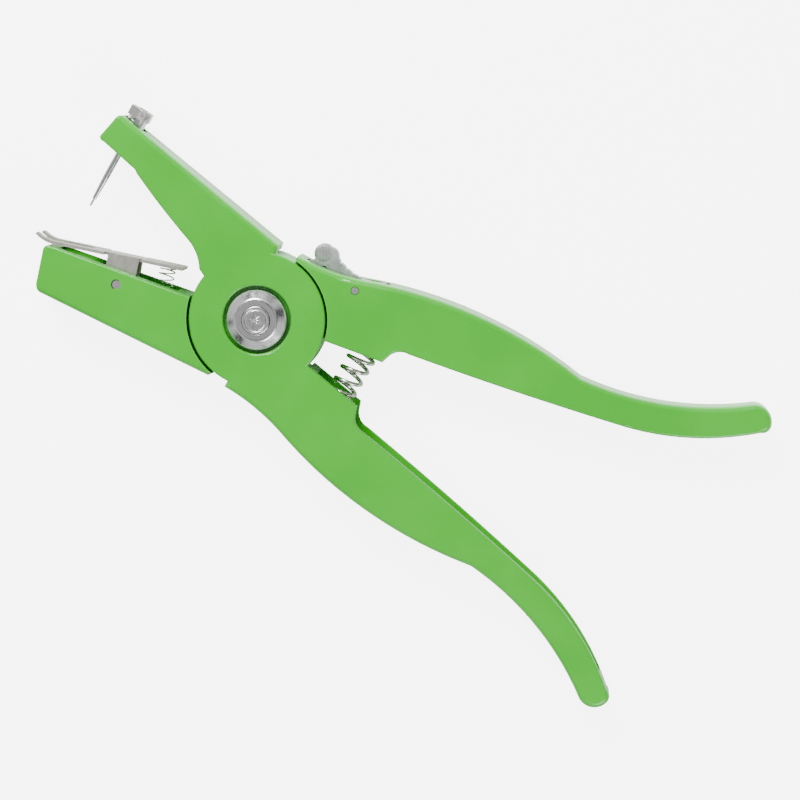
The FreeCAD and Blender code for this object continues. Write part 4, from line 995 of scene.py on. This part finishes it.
@dataclass
class Studio:
    """Camera, pale floor and soft lights.

    Attributes:
        eye: Place of the camera.
        target: Point in the middle of its view.
        roll: Turn of the camera about its line of sight.
        lens: Focal length in millimetres, on a sensor of 36 mm.
        floor_half: Half the side of the floor.
        floor_glow: Brightness of the floor's glow where the camera sees it.
        sweep_low: Brightness of the floor that the tool mirrors, on its lower side.
        sweep_high: The same on its upper side.
    """

    eye: Vector = field(default_factory=lambda: Vector((57.3, 119.8, 929.0)) * MM)
    target: Vector = field(default_factory=lambda: Vector((57.3, 0.7, 20.0)) * MM)
    roll: float = math.radians(29.68)
    lens: float = 118.3
    floor_half: float = 3.0
    floor_glow: float = 5.5
    sweep_low: float = 0.0
    sweep_high: float = 1.6

    def camera(self) -> None:
        """Put the camera at its eye, looking at its target."""
        data = bpy.data.cameras.new("camera")
        data.lens = self.lens
        data.sensor_width = 36.0
        data.clip_end = 20.0
        camera = bpy.data.objects.new("camera", data)
        bpy.context.scene.collection.objects.link(camera)
        backward = (self.eye - self.target).normalized()
        up = Vector((-math.sin(self.roll), math.cos(self.roll), 0.0))
        right = up.cross(backward).normalized()
        turn = Matrix((right, backward.cross(right), backward)).transposed()
        camera.matrix_world = Matrix.Translation(self.eye) @ turn.to_4x4()
        bpy.context.scene.camera = camera

    def floor(self, height: float) -> None:
        """Pale floor under the tool; it glows evenly for the camera, and for reflections it glows as
        a painted sweep from dark on its lower side to bright on its upper side.
        """
        mesh = bmesh.new()
        half = self.floor_half
        corners = [mesh.verts.new((x, y, height)) for x, y in
                   ((-half, -half), (half, -half), (half, half), (-half, half))]
        mesh.faces.new(corners)
        data = bpy.data.meshes.new("floor")
        mesh.to_mesh(data)
        mesh.free()
        floor = bpy.data.objects.new("floor", data)
        bpy.context.scene.collection.objects.link(floor)
        material = bpy.data.materials.new("pale_floor")
        material.use_nodes = True
        shader = next(node for node in material.node_tree.nodes if node.type == "BSDF_PRINCIPLED")
        sheet = NodeSheet(material.node_tree)
        place = sheet.place()
        shade = sheet.noise(place, 6.0)
        sheet.feed(shader.inputs["Base Color"], sheet.mix(shade, (0.93, 0.93, 0.93, 1.0),
                                                          (0.95, 0.95, 0.95, 1.0)))
        shader.inputs["Roughness"].default_value = 0.85
        across = sheet.add("ShaderNodeSeparateXYZ", {0: place}).outputs["Y"]
        # Painted reflection: the floor that the metal mirrors glows from dark on its lower side to
        # bright on its upper side.
        sweep = sheet.fit(across, -0.01, 0.09, self.sweep_low, self.sweep_high)
        seen = sheet.add("ShaderNodeLightPath").outputs["Is Camera Ray"]
        shader.inputs["Emission Color"].default_value = (1.0, 1.0, 1.0, 1.0)
        glow = sheet.add("ShaderNodeMix", {0: seen, 2: sweep, 3: self.floor_glow})
        sheet.feed(shader.inputs["Emission Strength"], glow.outputs[0])
        data.materials.append(material)
        floor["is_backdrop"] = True

    def lamp(self, name: str, place: Sequence[float], size: float, watts: float) -> None:
        """Soft square lamp that faces the middle of the tool."""
        data = bpy.data.lights.new(name, "AREA")
        data.size = size
        data.energy = watts
        lamp = bpy.data.objects.new(name, data)
        bpy.context.scene.collection.objects.link(lamp)
        lamp.location = place
        aim = Vector((0.05, 0.0, 0.01)) - lamp.location
        lamp.rotation_euler = aim.to_track_quat("-Z", "Y").to_euler()

    def sky(self) -> None:
        """Even white surroundings, darker low down on two sides so that metal shows its form."""
        world = bpy.data.worlds.new("soft_box")
        world.use_nodes = True
        bpy.context.scene.world = world
        sheet = NodeSheet(world.node_tree)
        background = next(node for node in world.node_tree.nodes if node.type == "BACKGROUND")
        direction = sheet.add("ShaderNodeTexCoord").outputs["Generated"]
        parts = sheet.add("ShaderNodeSeparateXYZ", {0: direction})
        patches = sheet.noise(direction, 2.4, detail=1.0)
        walls = sheet.fit(patches, 0.42, 0.54)
        ceiling = sheet.fit(parts.outputs["Z"], 0.97, 0.8, 0.6, 1.0)
        light = sheet.math("MULTIPLY", walls, ceiling)
        sheet.feed(background.inputs["Color"], sheet.mix(light, (0.06, 0.06, 0.065, 1.0),
                                                         (1.0, 1.0, 1.0, 1.0)))
        background.inputs["Strength"].default_value = 0.75

    def build(self, height: float) -> None:
        """Set up the camera, the floor and the lights."""
        self.camera()
        self.floor(height)
        self.sky()
        self.lamp("key_lamp", (-0.6, 0.6, 0.75), 0.5, 16.0)
        self.lamp("fill_lamp", (0.75, -0.45, 0.65), 0.6, 6.5)


def main() -> None:
    """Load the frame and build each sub-assembly."""
    logging.basicConfig(level=logging.INFO, format="%(message)s")
    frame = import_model()
    cad_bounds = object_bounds()
    CadDress().build(frame["nodes"])
    rims = PinRim("clip_pin", ends=(1, -1)).build() + PinRim("latch_pin").build()
    for piece in (*Springs().build(), PivotRivet().build(), FrontWasher().build(),
                  LatchKnob().build(), *rims):
        LOG.info("piece %s: %d faces", piece.name, len(piece.data.polygons))
    Studio().build(cad_bounds[0][2])


if __name__ == "__main__":
    main()
